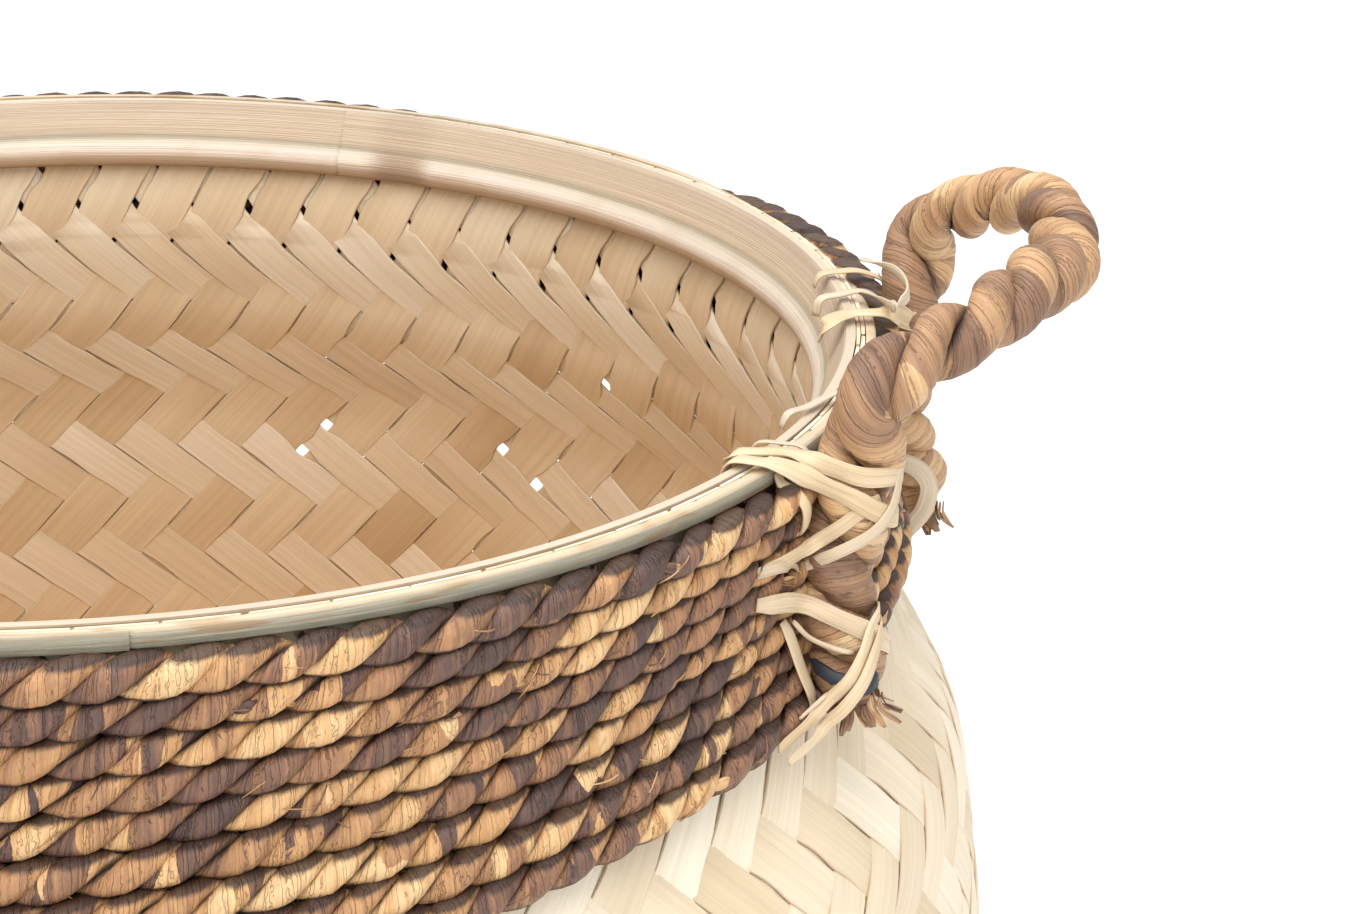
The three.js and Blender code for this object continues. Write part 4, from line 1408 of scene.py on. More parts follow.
@dataclass
class NeckRope:
    """One two-strand rope wound nine turns flat round the neck.

    rises holds how high the rope rides up, at which angle and how far to either side. loose_leaf
    holds the number, width, length and lift of the flaps of leaf, then of the fine fibres.
    """

    form: BodyForm
    turns: int = 9
    top_depth: float = 4.4 * MM
    pitch: float = 6.75 * MM
    pitch_swing: float = 1.35 * MM
    flat_reach: float = 3.72 * MM
    seat_gap: float = 0.3 * MM
    crossing_share: float = 2 / 24
    start_angle: float = math.radians(195)
    lay_length: float = 22.5 * MM
    strand_radius: float = 2.95 * MM
    step: float = 1.7 * MM
    facet_turn: float = math.radians(7.5)
    rises: tuple[tuple[float, float, float], ...] = (
        (4.0 * MM, math.radians(98), math.radians(28)), (3.6 * MM, math.radians(28), math.radians(17)),
    )
    rise_fade: float = 1.5
    typical_radius: float = 0.2
    size_power: float = 0.4
    row_fill: float = 0.99
    leaf_width_spread: Pair = (0.5, 1.2)
    leaf_length_spread: Pair = (0.5, 1.3)
    leaf_slant: Pair = (-0.5, 1.1)
    leaf_bend: float = 0.25
    leaf_seat: float = 0.93
    leaf_root: float = 0.9 * MM
    leaf_tip: float = 0.35
    leaf_thickness: float = 0.28 * MM
    loose_leaf: tuple[tuple[int, float, float, float], ...] = (
        (55, 2.6 * MM, 8 * MM, 0.3 * MM), (110, 0.28 * MM, 11 * MM, 1.3 * MM),
    )

    def row_pitch(self, angle: Array) -> Array:
        """The height of a row at an angle, more at the front and back than by the handles."""
        return self.pitch - self.pitch_swing * np.cos(2 * angle)

    def centre_radius(self, depth: Array) -> Array:
        """The radius of the rope's middle.

        Args:
            depth: The depth below the rim's top.

        Returns:
            The radius at which the rope clears the wall and its flat facets, never less than at the rim.
        """
        reach = (self.pitch + self.pitch_swing) / 4
        wall = np.maximum(self.form.wall_radius(depth - reach), self.form.wall_radius(depth + reach))
        clear = (wall + self.seat_gap + self.flat_reach) / math.cos(self.facet_turn)
        return np.maximum(clear, self.form.wall_radius(0) + self.seat_gap + self.flat_reach)

    def rise(self, angle: Array, turn: Array) -> Array:
        """How far the rope rides up behind the far rim and by the far foot, most at the first turn."""
        first = sum(rise * bump(angle, middle, reach) for rise, middle, reach in self.rises)
        return first * np.clip(1 - turn / self.turns, 0, 1) ** self.rise_fade

    def place(self, turned: Array) -> tuple[Array, Array, Array]:
        """The rope's middle line.

        Args:
            turned: How many turns the rope has gone.

        Returns:
            The angle, the depth and the radius.
        """
        angle = self.start_angle + turned * FULL_TURN
        turn = np.floor(turned)
        crossed = np.maximum(0, (turned - turn - 1 + self.crossing_share) / self.crossing_share)
        depth = self.top_depth + self.row_pitch(angle) * (turn + smoothstep(crossed, 0, 1) + 0.5)
        radius = self.centre_radius(depth)
        return angle, depth - self.rise(angle, turned), radius

    def surface(self, depth: Array) -> Array:
        """The radius of the rope's outside at a depth."""
        return self.centre_radius(depth) + self.flat_reach

    def build(self) -> None:
        """Makes the rope, one piece for each strand."""
        material = TwistedLeaf("neck_rope_leaf", (
            (0.13, (0.076, 0.041, 0.033)), (0.27, (0.138, 0.070, 0.048)), (0.41, (0.265, 0.130, 0.066)),
            (0.55, (0.410, 0.211, 0.093)), (0.71, (0.560, 0.312, 0.130)), (0.90, (0.72, 0.475, 0.235)),
        ), 0.021).material()
        total = self.turns - self.crossing_share
        length = total * FULL_TURN * self.typical_radius
        angle, depth, radius = self.place(np.linspace(0, total, int(length / self.step)))
        line = around_axis(radius, angle, self.form.height - depth)
        out = around_axis(np.ones_like(angle), angle, np.zeros_like(angle))
        row = self.row_pitch(angle)
        size = self.strand_radius * (row / (self.pitch + self.pitch_swing)) ** self.size_power
        lay = np.full(len(line), self.lay_length)
        rope = TwoStrandRope(line, out, lay, size, 101, squeeze=row / 2 * self.row_fill, sides=14)
        for number in range(rope.strands):
            skin = Skin()
            rope.strand(skin, number)
            self._loose_leaf(skin, number)
            piece = skin.build(f"neck_rope_strand_{number + 1}", material, "neck_rope")
            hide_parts("neck_rope")

    def _loose_leaf(self, skin: Skin, number: int) -> None:
        """Adds flaps of leaf and fine fibres that have come loose from the rope.

        Args:
            skin: Where to add them.
            number: Which strand they belong to.
        """
        rng = np.random.default_rng(70 + number)
        clear_of_ends = 0.02
        last = self.turns - self.crossing_share - clear_of_ends
        for count, width, long, away in self.loose_leaf:
            for turned in rng.uniform(clear_of_ends, last, count):
                angle, depth, radius = (float(value) for value in self.place(np.array(turned)))
                wide = width * rng.uniform(*self.leaf_width_spread)
                reach = long * rng.uniform(*self.leaf_length_spread)
                slant, bend = rng.uniform(*self.leaf_slant), rng.normal(0, self.leaf_bend)
                points = []
                for share in (-0.5, -0.2, 0.2, 0.5):
                    out = level_out(angle + share * reach * math.cos(slant) / radius)
                    down = depth - share * reach * (math.sin(slant) + bend * share)
                    rooted = self.leaf_root * (share == -0.5)
                    lift = away * (0.25 - share * share) * 4 - rooted
                    point = out * (radius + self.flat_reach * self.leaf_seat + lift)
                    points.append([*point[:2], self.form.height - down, *out])
                look = (0.1, 0.0, rng.uniform())
                add_ribbon(
                    skin, np.array(points), wide, self.leaf_thickness, "strand", look, self.leaf_tip)


@dataclass
class HandleRopes:
    """Two thick rope handles, each bent to a loop at the rim, with both ends down over the neck rope.

    The handle at -X is the one at +X turned half round, so its ends swap their lengths. lay_lengths
    and strand_sizes hold depths below the rim and the value at each. frayed_length and frayed_width
    hold the least and the most, in millimetres.
    """

    form: BodyForm
    neck: NeckRope
    radius: float = 8 * MM
    half_angle: float = math.radians(16.5)
    hinge_height: float = 2 * MM
    hinge_gap: float = 0.35 * MM
    rise_out: float = 1.2 * MM
    rise_height: float = 11.6 * MM
    spread: float = 2.9 * MM
    shoulder_reach: float = 31.7 * MM
    shoulder_half_width: float = 27 * MM
    shoulder_height: float = 27.3 * MM
    far_shoulder_lift: float = 2.5 * MM
    loop_reach: float = 37.5 * MM
    apex_height: float = 26 * MM
    near_end_depth: float = 56 * MM
    far_end_depth: float = 64 * MM
    pressed_in: float = 4 * MM
    lean: float = 8 * MM
    lay_lengths: tuple[Pair, ...] = (
        (-0.034, 26 * MM), (-0.018, 36 * MM), (-0.004, 44 * MM), (0.012, 38 * MM), (0.026, 26 * MM),
    )
    strand_sizes: tuple[Pair, ...] = (
        (-0.030, 4.3 * MM), (-0.012, 4.8 * MM), (0.006, 5.3 * MM), (0.030, 4.9 * MM), (0.060, 4.3 * MM),
    )
    strand_axis_share: float = 0.84
    foot_lean_from: float = 0.010
    foot_lean_over: float = 0.046
    foot_level: float = 0.056
    reach: float = 9.3 * MM
    start_turn: float = 0.6
    blend_start: float = 0.314
    blend_end: float = 0.330
    frayed_leaves: int = 36
    frayed_length: Pair = (1.5, 3.8)
    frayed_width: Pair = (1.3, 3.2)
    frayed_thickness: float = 0.35 * MM
    frayed_root: float = 2.5 * MM
    frayed_spread: Pair = (0.15, 0.95)
    frayed_curl: Pair = (0.0, 0.9)
    frayed_shortening: float = 0.3
    frayed_foot_share: float = 0.75
    frayed_flare: float = 0.28
    frayed_face_turn: float = 1.3
    frayed_tip: float = 0.5
    lean_power: float = 1.3
    route_step: float = 1.2 * MM

    def __post_init__(self) -> None:
        """Works out where the loop bends."""
        self.foot_top = self.radius + self.hinge_gap - self.hinge_height
        self.hinge_radius = float(self.packed_radius(self.foot_top))

    def packed_radius(self, depth: float) -> float:
        """The radius at which a round foot clears the neck rope at a depth."""
        depths = np.array([depth - self.radius, depth, depth + self.radius / 2])
        return self.neck.centre_radius(depths).max() + self.neck.flat_reach + self.neck.seat_gap + self.radius

    def foot_line(self, depth: float, sense: int) -> Pair:
        """The middle of a foot, pressed into the neck rope and leaning away from the handle.

        Args:
            depth: The depth below the rim.
            sense: +1 for the foot at the greater angle, -1 for the other.

        Returns:
            The angle and the radius.
        """
        down = float(np.clip((depth - self.foot_lean_from) / self.foot_lean_over, 0, 1))
        radius = self.packed_radius(float(np.clip(depth, self.foot_top, self.foot_level)))
        angle = sense * (self.half_angle + self.lean * down ** self.lean_power / NECK_TURN_RADIUS)
        return angle, radius - self.pressed_in

    def ends(self) -> tuple[tuple[int, float], tuple[int, float]]:
        """The sense and the end's depth of the near foot and the far foot."""
        return (-1, self.near_end_depth), (1, self.far_end_depth)

    def route(self) -> Array:
        """The middle line of the handle at +X.

        Returns:
            Its points, from the cut end at the front to the one at the back.
        """
        halves = []
        height = self.form.height + self.hinge_height
        hinge_x, hinge_y = (
            (self.hinge_radius - self.pressed_in / 2) * part for part in level_out(self.half_angle)[:2])
        for sense, end_depth in self.ends():
            lift = self.far_shoulder_lift * (sense > 0)
            half = []
            for depth in np.linspace(end_depth - self.reach / 4, self.foot_top, 9):
                angle, radius = self.foot_line(float(depth), sense)
                half.append((*(radius * level_out(angle))[:2], self.form.height - depth))
            half.append((hinge_x, sense * hinge_y, height))
            half.append((hinge_x + self.rise_out, sense * (hinge_y + self.spread), height + self.rise_height))
            half.append((
                hinge_x + self.shoulder_reach - lift / 2, sense * self.shoulder_half_width,
                height + self.shoulder_height + lift))
            halves.append(half)
        apex = (hinge_x + self.loop_reach, 0, height + self.apex_height)
        return smooth_line(np.array([*halves[0], apex, *reversed(halves[1])]), self.route_step)

    @staticmethod
    def carried_side(line: Array, first: Array) -> Array:
        """A direction square to the line that is carried along it without twist.

        Args:
            line: The line's points.
            first: The direction at its start.

        Returns:
            The direction at each point.
        """
        run = unit(np.gradient(line, axis=0))
        sides = [first]
        for step in run:
            side = sides[-1] - step * float(np.dot(sides[-1], step))
            sides.append(side / np.linalg.norm(side))
        return np.array(sides[1:])

    def build(self) -> None:
        """Makes both handles."""
        material = TwistedLeaf("handle_rope_leaf", (
            (0.10, (0.15, 0.080, 0.050)), (0.28, (0.250, 0.135, 0.076)), (0.44, (0.36, 0.200, 0.104)),
            (0.60, (0.46, 0.262, 0.130)), (0.78, (0.57, 0.350, 0.172)), (0.95, (0.66, 0.46, 0.26)),
        ), 0.028, 45.0).material()
        line = self.route()
        depth = self.form.height - line[:, 2]
        size, lay = (np.interp(depth, *np.array(table).T) for table in (self.strand_sizes, self.lay_lengths))
        for hand, sign in (("right", 1), ("left", -1)):
            turned = line * np.array([sign, sign, 1])
            side = self.carried_side(turned, np.array([sign, 0.0, 0.0]))
            rope = TwoStrandRope(
                turned, side, lay, size, 301 + 50 * sign, sides=24, axis_share=self.strand_axis_share,
                start_turn=self.start_turn)
            skin = Skin()
            for number in range(rope.strands):
                rope.strand(skin, number)
            piece = skin.build(f"{hand}_handle_rope", material, "handle_rope", body=None)
            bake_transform(piece)
            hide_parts(f"{hand}_handle_loop", f"{hand}_front_handle_foot", f"{hand}_back_handle_foot")
            for sense, end_depth in self.ends():
                place = "front" if sense * sign < 0 else "back"
                frayed = Skin()
                self._fray(frayed, sense, end_depth, sign)
                frayed.build(f"{hand}_{place}_frayed_end", material, "handle_rope")

    def _fray(self, skin: Skin, sense: int, end_depth: float, sign: int) -> None:
        """Adds the loose leaf ends that stand out of a foot's cut end.

        Args:
            skin: Where to add them.
            sense: +1 for the foot at the greater angle, -1 for the other.
            end_depth: The cut end's depth below the rim.
            sign: +1 for the handle at +X, -1 for the other.
        """
        rng = np.random.default_rng(40 + 3 * sense + sign)
        flip = np.array([sign, sign, 1])
        for _ in range(self.frayed_leaves):
            turn = rng.uniform(0, FULL_TURN)
            spread = rng.uniform(*self.frayed_spread)
            long = rng.uniform(*self.frayed_length) * MM
            curl = rng.uniform(*self.frayed_curl)
            points = []
            for share in (-1.0, 0.0, 0.5, 1.0):
                beyond = max(share, 0)
                kept = 1 - self.frayed_shortening * beyond * curl
                depth = end_depth - self.frayed_root + long * share * kept
                angle, radius = self.foot_line(depth, sense)
                out = level_out(angle)
                spoke = out * math.cos(turn) + sense * level_beside(out) * math.sin(turn)
                flare = self.frayed_flare * beyond * (1 + curl)
                away = spread * self.reach * (self.frayed_foot_share + flare)
                point = out * radius + spoke * away
                point[2] = self.form.height - depth
                face = spoke + np.array([0, 0, self.frayed_face_turn * beyond * curl])
                points.append([*(point * flip), *(face * flip)])
            width = rng.uniform(*self.frayed_width) * MM
            look = (0.1, 0.0, rng.uniform())
            add_ribbon(
                skin, np.array(points), width, self.frayed_thickness, "strand", look, self.frayed_tip)


RIBBON_SECTION = (
    (-1, 0), (-0.93, 0.8), (-0.3, 1), (0.3, 1), (0.93, 0.8), (1, 0), (0.93, -0.8), (-0.93, -0.8),
)


def add_ribbon(skin: Skin, path: Array, width: float, thickness: float, layer: str,
               look: tuple[float, float, float], tip: float) -> None:
    """Adds a thin flat strip that is bent along a line.

    Args:
        skin: Where to add it.
        path: The places that it passes and its face's direction at each, as six numbers.
        width: Its width.
        thickness: Its thickness.
        layer: What its two point attributes' names start with.
        look: What the second attribute holds. The last number is the strip's own.
        tip: How wide its ends are as a share of the width.
    """
    sample_step, uneven, uneven_step = 1.1 * MM, 0.07, 0.009
    tip_start, tip_end = -0.1 * width, 1.1 * width
    samples = smooth_line(path, sample_step)
    line, face = samples[:, :3], samples[:, 3:]
    run = unit(np.gradient(line, axis=0))
    across = unit(np.cross(unit(face), run))
    face = unit(np.cross(run, across))
    along = lengths_along(line)
    from_end = np.minimum(along, along[-1] - along)
    size = tip + (1 - tip) * smoothstep(from_end, tip_start, tip_end)
    size = size * (1 + uneven * swing(along / uneven_step, int(look[2] * 997)))
    rings = np.stack([
        line + across * (size * width / 2 * x)[:, None] + face * (thickness / 2 * y)
        for x, y in RIBBON_SECTION], 1)
    beside = np.array([x for x, _ in RIBBON_SECTION]) * width / 2
    place = np.stack(np.broadcast_arrays(along[:, None], beside[None, :], look[2]), -1)
    skin.add_tube(rings, **{f"{layer}_place": place, f"{layer}_look": np.array(look)})


class Seat(Enum):
    """What a place on a strip is counted on. Lengths are millimetres, away from the handle's middle.

    RIM counts along the rim, inwards from the outer hoop's face, and up. NECK counts along the neck,
    down, and out from the neck rope. ROPE counts degrees round the foot from its outer side, depth
    down, and out from the foot.
    """

    RIM = 1
    NECK = 2
    ROPE = 3


@dataclass(frozen=True)
class Strap:
    """A flat cane strip over the places that it passes."""

    width: float
    places: tuple[tuple[Seat, float, float, float], ...]
    grey: float = 0.0
    thickness: float = 0.55


RIM, NECK, ROPE = Seat.RIM, Seat.NECK, Seat.ROPE


@dataclass
class Lashings:
    """The cane strips that hold the four rope ends, and the tape wound on them.

    tape_section holds the tape's outline, as shares of its width and millimetres out from the foot.
    A strip's face looks up on the rim's top and turns outwards past rim_edge, over the way rim_fall.
    """

    form: BodyForm
    neck: NeckRope
    handles: HandleRopes
    near_upper: tuple[Strap, ...] = (
        Strap(3.3, ((RIM, 16, 10.6, -3), (RIM, 17, 9.4, 1.2), (RIM, 14, 4.4, 1.8), (RIM, 10, -0.6, 1.4),
                    (ROPE, 91, -0.1, 1.0), (ROPE, 55, 1.5, 1.0), (ROPE, 15, 2.5, 1.1), (ROPE, -25, 4, 1.0),
                    (ROPE, -70, 6, 0.4), (ROPE, -95, 7, -1.5))),
        Strap(3.4, ((RIM, 21, 9.6, -3), (RIM, 21, 7.6, 1.2), (RIM, 19.5, 1.6, 1.7), (RIM, 17, -1.8, 0.8),
                    (ROPE, 100, 4.4, 1.0), (ROPE, 63, 6.7, 1.0), (ROPE, 42, 9, 1.1), (ROPE, 10, 12, 1.2),
                    (ROPE, -28, 14, 0.8), (ROPE, -60, 16, -1.5))),
        Strap(2.5, ((ROPE, 30, 7, 0.1), (ROPE, 50, 8.6, 0.4), (ROPE, 79, 13.1, 0.6), (ROPE, 105, 17.4, 0.9),
                    (NECK, 21.6, 18.1, 0.8), (NECK, 31, 18.5, -0.6))),
        Strap(2.2, ((ROPE, -40, -6, 0.5), (ROPE, -12, -0.6, 0.9), (ROPE, -1, 3.5, 1.2), (ROPE, 18, 9.7, 1.6),
                    (ROPE, 38, 14.2, 1.5), (ROPE, 76, 18.7, 1.2), (ROPE, 117, 23.0, 1.3),
                    (NECK, 23.3, 18.9, 0.9), (NECK, 31, 18, -0.5)), 0.35),
    )
    near_tie: tuple[Strap, ...] = (
        Strap(2.4, ((NECK, 15.8, 1.4, -6.2), (NECK, 15.6, 3.8, -5.2), (NECK, 15.2, 5.6, -1.2),
                    (NECK, 14.6, 8.4, 1.0), (NECK, 13.2, 13.8, 0.5), (NECK, 12.8, 15, -0.8)), thickness=0.9),
        Strap(1.7, ((RIM, -13, 10.6, -2), (RIM, -14.5, 9.6, 1.0), (RIM, -20, 7, 1.3), (RIM, -31.8, 2.9, 1.6),
                    (RIM, -34.8, -1.3, 1.2), (RIM, -36, -4, -3)), 0.6),
        Strap(1.2, ((RIM, 7, 10.2, -2), (RIM, 6.6, 8.6, 0.8), (RIM, 5.5, 3, 1.4), (RIM, 5, -1.5, 1.2),
                    (RIM, 5, -3.6, -2)), 0.5),
    )
    near_lower: tuple[Strap, ...] = (
        Strap(3.4, ((NECK, 31, 25.4, -0.6), (NECK, 27, 26.2, 0.7), (NECK, 21, 27.6, 1.5),
                    (NECK, 15, 29.9, 2.8), (ROPE, 62, 32.7, 1.2), (ROPE, 31, 35.5, 1.2), (ROPE, 5, 38.5, 1.1),
                    (ROPE, -30, 42, 0.6), (ROPE, -60, 44, -1.5)), 0.15),
        Strap(2.2, ((ROPE, -24, 33.5, -0.6), (ROPE, 6, 33, 1.3), (ROPE, 22, 35.2, 1.8), (ROPE, 37, 39.9, 1.4),
                    (ROPE, 61, 45, 1.4), (ROPE, 96, 50.2, 1.4), (NECK, 22, 54, 1.2), (NECK, 31, 56.5, -1.0))),
        Strap(2.3, ((ROPE, -28, 36, -0.6), (ROPE, 2, 36.4, 1.4), (ROPE, 22, 39.8, 1.8), (ROPE, 45, 45.5, 1.4),
                    (ROPE, 75, 50.8, 1.4), (ROPE, 104, 55, 1.4), (NECK, 20, 57.5, 1.2), (NECK, 29, 60, -1.0)),
              0.1),
        Strap(2.4, ((NECK, 20.4, 32.5, -0.3), (NECK, 19.6, 35.4, 1.0), (NECK, 17.3, 43.9, 1.2),
                    (NECK, 16, 50.2, 0.8), (NECK, 15.4, 52.4, -0.3)), 0.1),
        Strap(0.9, ((NECK, 17.7, 33.1, 0.8), (ROPE, 99, 37.6, 1.0), (ROPE, 61, 39.3, 0.9), (ROPE, 48, 40, 0)),
              0.3, 0.6),
        Strap(0.7, ((NECK, 23, 52.5, 0.7), (ROPE, 92, 48.3, 0.9)), 0.3, 0.5),
    )
    far_upper: tuple[Strap, ...] = (
        Strap(3.9, ((RIM, -33, 13, -3), (RIM, -32.9, 11.4, 1.2), (RIM, -26.7, 5.9, 1.9), (RIM, -26, 0.5, 2.0),
                    (RIM, -24, -4.5, 1.2), (ROPE, -100, 5, 0.9), (ROPE, -60, 7, 0.8), (ROPE, -15, 9, 0.6),
                    (ROPE, 40, 11, 0.4))),
        Strap(2.3, ((RIM, -12.6, 13, -3), (RIM, -11.8, 12, 0.9), (RIM, -10.2, 7.3, 1.6), (RIM, -7.9, 2, 1.8),
                    (RIM, -22, -2, 3.5), (RIM, -36, -4.4, 7), (RIM, -33.3, -6.9, 8.5), (RIM, -15.4, -5.2, 9),
                    (RIM, -5.4, 1.4, 9)), 0.45),
    )
    far_tie: tuple[Strap, ...] = (
        Strap(2.4, ((RIM, 9, 10.5, -2), (RIM, 9, 9.2, 1.0), (RIM, 9.5, 4, 1.6), (RIM, 10, -1, 1.3),
                    (NECK, 11, 3, 1.6), (NECK, 12, 12, 0.8), (NECK, 12.4, 15, -0.2))),
    )
    far_lower: tuple[Strap, ...] = (
        Strap(3.5, ((NECK, -16, 45, -0.5), (ROPE, -140, 45.5, 1.2), (ROPE, -110, 42.9, 1.3),
                    (ROPE, -87, 44.9, 1.4), (ROPE, -80, 49.6, 1.5), (ROPE, -97, 56.8, 1.3),
                    (ROPE, -119, 62.6, 1.2), (ROPE, -140, 66.5, 0.9)), 0.5),
        Strap(3.0, ((ROPE, -120, 20, 0.4), (ROPE, -70, 18, 0.8), (ROPE, -10, 16, 0.8), (ROPE, 60, 15, 0.8),
                    (NECK, 20, 14, 0.6), (NECK, 30, 14, -0.6)), 0.3),
    )
    breadth: float = 1.3
    tip_share: float = 0.7
    hoop_face_radius: float = 0.1919
    tape_start: float = 44.0 * MM
    tape_width: float = 5.0 * MM
    tape_section: tuple[Pair, ...] = (
        (0, -3.1), (0.1, -2.4), (0.5, -2.1), (0.9, -2.4), (1, -3.1), (0.5, -3.8),
    )
    tape_steps: int = 48
    tape_wave: float = 0.8
    tape_wave_steps: int = 5
    tape_wave_lift: float = 0.35
    tape_outer_turn: float = 100
    rope_top: float = 5 * MM
    off_rope: float = 0.4 * MM
    rim_edge: float = 0.5
    rim_fall: float = 4
    rim_lean: float = 0.8
    far_tape_sunk: float = 1.6

    def place(self, seat: Seat, first: float, second: float, lift: float, sense: int) -> list[float]:
        """A place that a strip passes and the direction its face looks in there.

        Args:
            seat: What the numbers are counted on.
            first: The first number.
            second: The second number.
            lift: The third number.
            sense: +1 for the foot at the greater angle, -1 for the other.

        Returns:
            Six numbers.
        """
        if seat is Seat.ROPE:
            foot_angle, radius = self.handles.foot_line(second * MM, sense)
            out = level_out(foot_angle)
            turn = math.radians(first)
            face = out * math.cos(turn) + sense * level_beside(out) * math.sin(turn)
            point = out * radius + face * (self.handles.reach + lift * MM)
            return [*point[:2], self.form.height - second * MM, *face]
        out = level_out(sense * (self.handles.half_angle + first * MM / NECK_TURN_RADIUS))
        if seat is Seat.NECK:
            depth = second * MM
            rope_face = float(self.neck.surface(np.array(max(depth, self.rope_top))))
            radius = rope_face + self.off_rope + lift * MM
            return [*(out * radius)[:2], self.form.height - depth, *out]
        radius = self.hoop_face_radius - second * MM
        tilt = float(np.clip((self.rim_edge - second) / self.rim_fall, 0, 1))
        face = unit(out * tilt + np.array([0, 0, 1 - self.rim_lean * tilt]))
        return [*(out * radius)[:2], self.form.height + lift * MM, *face]

    def strips(self, name: str, nodes: tuple[str, ...], straps: tuple[Strap, ...], sense: int, sign: int,
               material: Material) -> None:
        """Makes one piece of several strips.

        Args:
            name: The piece's name.
            nodes: The nodes that it takes the place of.
            straps: The strips.
            sense: Which of the handle's feet they hold.
            sign: +1 for the handle at +X, -1 for the other.
            material: Their material.
        """
        skin = Skin()
        turn = np.array([sign, sign, 1, sign, sign, 1])
        for number, strap in enumerate(straps):
            path = np.array([self.place(*place, sense) for place in strap.places]) * turn
            own = (number * 0.619 + 0.23 * sense + 0.11 * sign) % 1
            width, thickness = self.breadth * strap.width * MM, strap.thickness * MM
            add_ribbon(skin, path, width, thickness, "strip", (strap.grey, 0.0, own), self.tip_share)
        piece = skin.build(name, material, "cane")
        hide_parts(*nodes)

    def tape(self, name: str, node: str, sense: int, sign: int, material: Material) -> None:
        """Makes the turn of tape round a foot.

        Args:
            name: The piece's name.
            node: The node that it takes the place of.
            sense: Which of the handle's feet it is on.
            sign: +1 for the handle at +X, -1 for the other.
            material: Its material.
        """
        skin = Skin()
        turns = np.linspace(0, FULL_TURN, self.tape_steps, endpoint=False)
        sunk = self.far_tape_sunk * (sense > 0)
        rings = []
        for number, degrees in enumerate(np.degrees(turns).tolist()):
            wave = self.tape_wave * float(swing(np.array(number / self.tape_wave_steps), 7))
            raised = math.cos(math.radians(degrees - self.tape_outer_turn))
            shift = self.tape_wave_lift * wave - sunk + raised
            ring = []
            for down, lift in self.tape_section:
                depth = (self.tape_start + self.tape_width * down) / MM + wave
                ring.append(self.place(Seat.ROPE, degrees, depth, lift + shift, sense)[:3])
            rings.append(ring)
        skin.add_tube(np.array(rings) * [sign, sign, 1], closed=True)
        piece = skin.build(name, material, "tape")
        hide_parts(node)

    def build(self) -> None:
        """Makes the strips and tape at all four feet."""
        cane = CaneSkin().material()
        tape = PlainSurface("dark_tape", (0.035, 0.042, 0.055), 0.7, 260.0, 0.55).material()
        for hand, sign in (("right", 1), ("left", -1)):
            for sense in (-1, 1):
                foot = f"{hand}_{'front' if sense * sign < 0 else 'back'}"
                near = sense < 0
                for kind, straps in (
                        ("upper", self.near_upper if near else self.far_upper),
                        ("lower", self.near_lower if near else self.far_lower)):
                    name = f"{foot}_{kind}_lashing"
                    self.strips(name, (f"{name}_over", f"{name}_return"), straps, sense, sign, cane)
                tie = self.near_tie if near else self.far_tie
                self.strips(f"{foot}_rim_tie_strips", (f"{foot}_rim_tie",), tie, sense, sign, cane)
                self.tape(f"{foot}_end_tape_wrap", f"{foot}_end_tape", sense, sign, tape)


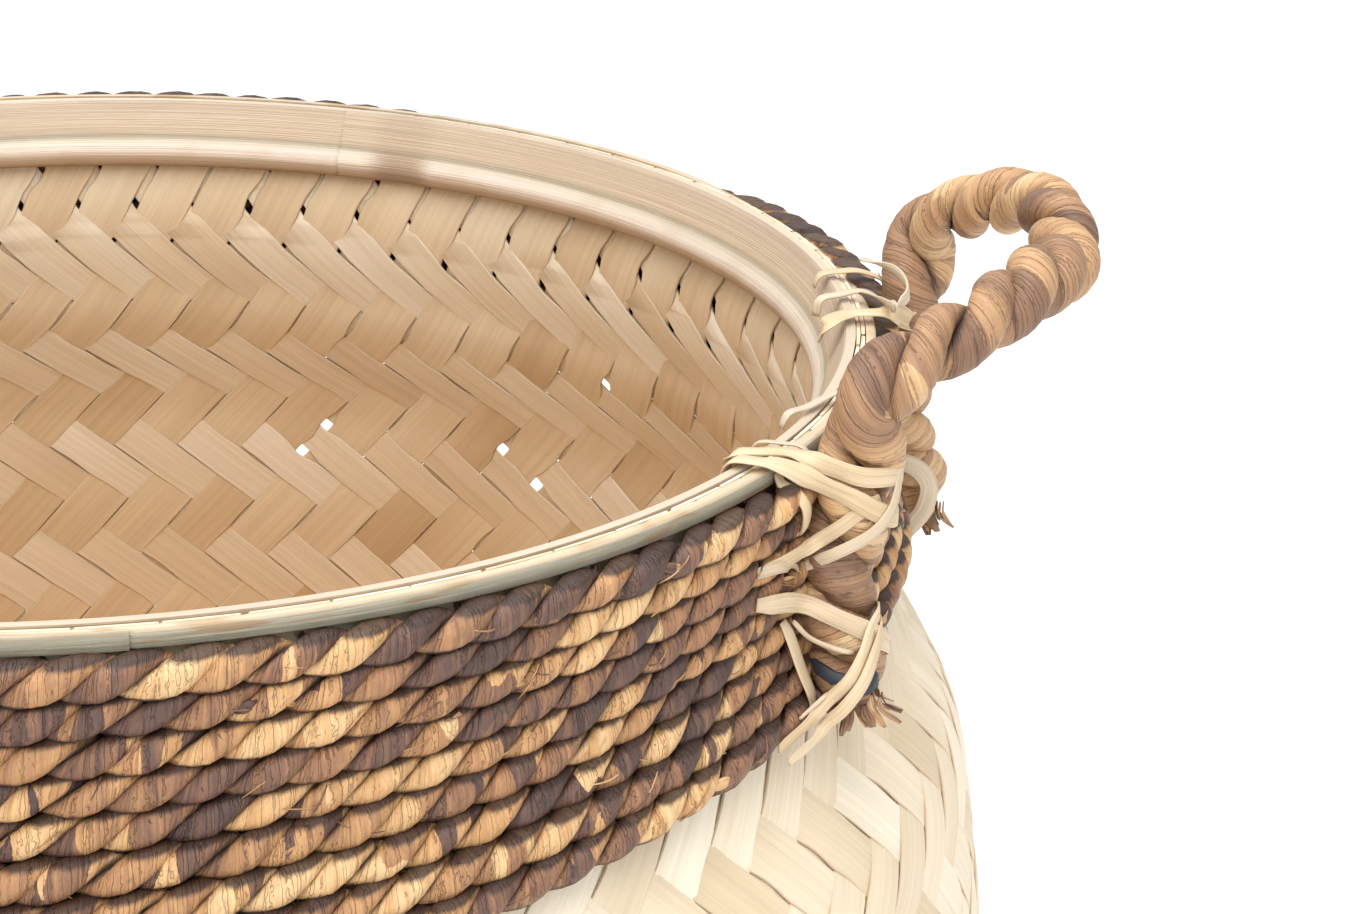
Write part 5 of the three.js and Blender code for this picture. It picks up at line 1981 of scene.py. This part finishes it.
@dataclass
class Studio:
    """The floor, the lights and the camera. lights holds each one's name, place, size and power."""

    focal_pixels: float = 3600.0
    image_width: float = 1370.0
    sensor_width: float = 36.0
    unit_radius: float = 0.185
    rim_height: float = 0.320
    pitch: float = math.radians(20.762)
    roll: float = math.radians(1.073)
    heading: float = math.radians(8.69)
    right_offset: float = 0.8003
    up_offset: float = -0.1734
    distance: float = 4.5419
    floor_reach: float = 6.0
    lights: tuple[tuple[str, tuple[float, float, float], float, float], ...] = (
        ("overhead_softbox", (-0.3, 0.1, 2.2), 1.6, 36),
        ("front_softbox", (0.1, -1.5, 2.0), 1.6, 37),
        ("front_right_softbox", (1.9, -1.7, 1.1), 1.4, 8),
    )
    lit_height: float = 0.25
    world_strength: float = 0.75

    def camera(self) -> None:
        """Sets the camera where the photograph was taken from."""
        data = bpy.data.cameras.new("camera")
        data.sensor_width = self.sensor_width
        data.lens = self.focal_pixels / self.image_width * self.sensor_width
        camera = bpy.data.objects.new("camera", data)
        show(camera)
        right = Vector((1, 0, 0))
        up = Vector((0, math.sin(self.pitch), math.cos(self.pitch)))
        back = Vector((0, -math.cos(self.pitch), math.sin(self.pitch)))
        place = (right * self.right_offset + up * self.up_offset + back * self.distance) * self.unit_radius
        x = right * math.cos(self.roll) + up * math.sin(self.roll)
        y = up * math.cos(self.roll) - right * math.sin(self.roll)
        turn = Matrix((x, y, back)).transposed().to_4x4()
        camera.matrix_world = Matrix.Rotation(self.heading, 4, "Z") @ Matrix.Translation(place) @ turn
        camera.location.z += self.rim_height
        bpy.context.scene.camera = camera

    def floor(self) -> None:
        """Lays a plain pale floor."""
        reach = self.floor_reach
        corners = [(-reach, -reach, 0), (reach, -reach, 0), (reach, reach, 0), (-reach, reach, 0)]
        mesh = bpy.data.meshes.new("floor")
        mesh.from_pydata(corners, [], [(0, 1, 2, 3)])
        mesh.materials.append(PlainSurface("pale_floor", (0.93, 0.93, 0.93), 0.01, 3.0, 0.8).material())
        floor = bpy.data.objects.new("floor", mesh)
        show(floor)

    def light(self, name: str, place: Vector, size: float, power: float) -> None:
        """Hangs one soft square light that faces the basket.

        Args:
            name: The light's name.
            place: Where it hangs.
            size: The length of its side.
            power: Its power in watts.
        """
        data = bpy.data.lights.new(name, "AREA")
        data.size = size
        data.energy = power
        lamp = bpy.data.objects.new(name, data)
        lamp.location = place
        lamp.rotation_mode = "QUATERNION"
        lamp.rotation_quaternion = (place - Vector((0, 0, self.lit_height))).to_track_quat("Z", "Y")
        show(lamp)

    def build(self) -> None:
        """Sets up the studio."""
        self.camera()
        self.floor()
        for name, place, size, power in self.lights:
            self.light(name, Vector(place), size, power)
        scene = bpy.context.scene
        scene.world = bpy.data.worlds.new("white_room")
        scene.world.use_nodes = True
        background = scene.world.node_tree.nodes["Background"]
        background.inputs["Color"].default_value = (1, 1, 1, 1)
        background.inputs["Strength"].default_value = self.world_strength
        scene.view_settings.view_transform = "Standard"
        scene.view_settings.look = "None"


def main() -> None:
    """Sets up the studio and builds the basket in it."""
    logging.basicConfig(level=logging.INFO, format="%(message)s")
    Studio().build()
    form = BodyForm()
    Weave(form).build()
    RimHoops(form).build()
    neck = NeckRope(form)
    neck.build()
    handles = HandleRopes(form, neck)
    handles.build()
    Lashings(form, neck, handles).build()


if __name__ == "__main__":
    main()
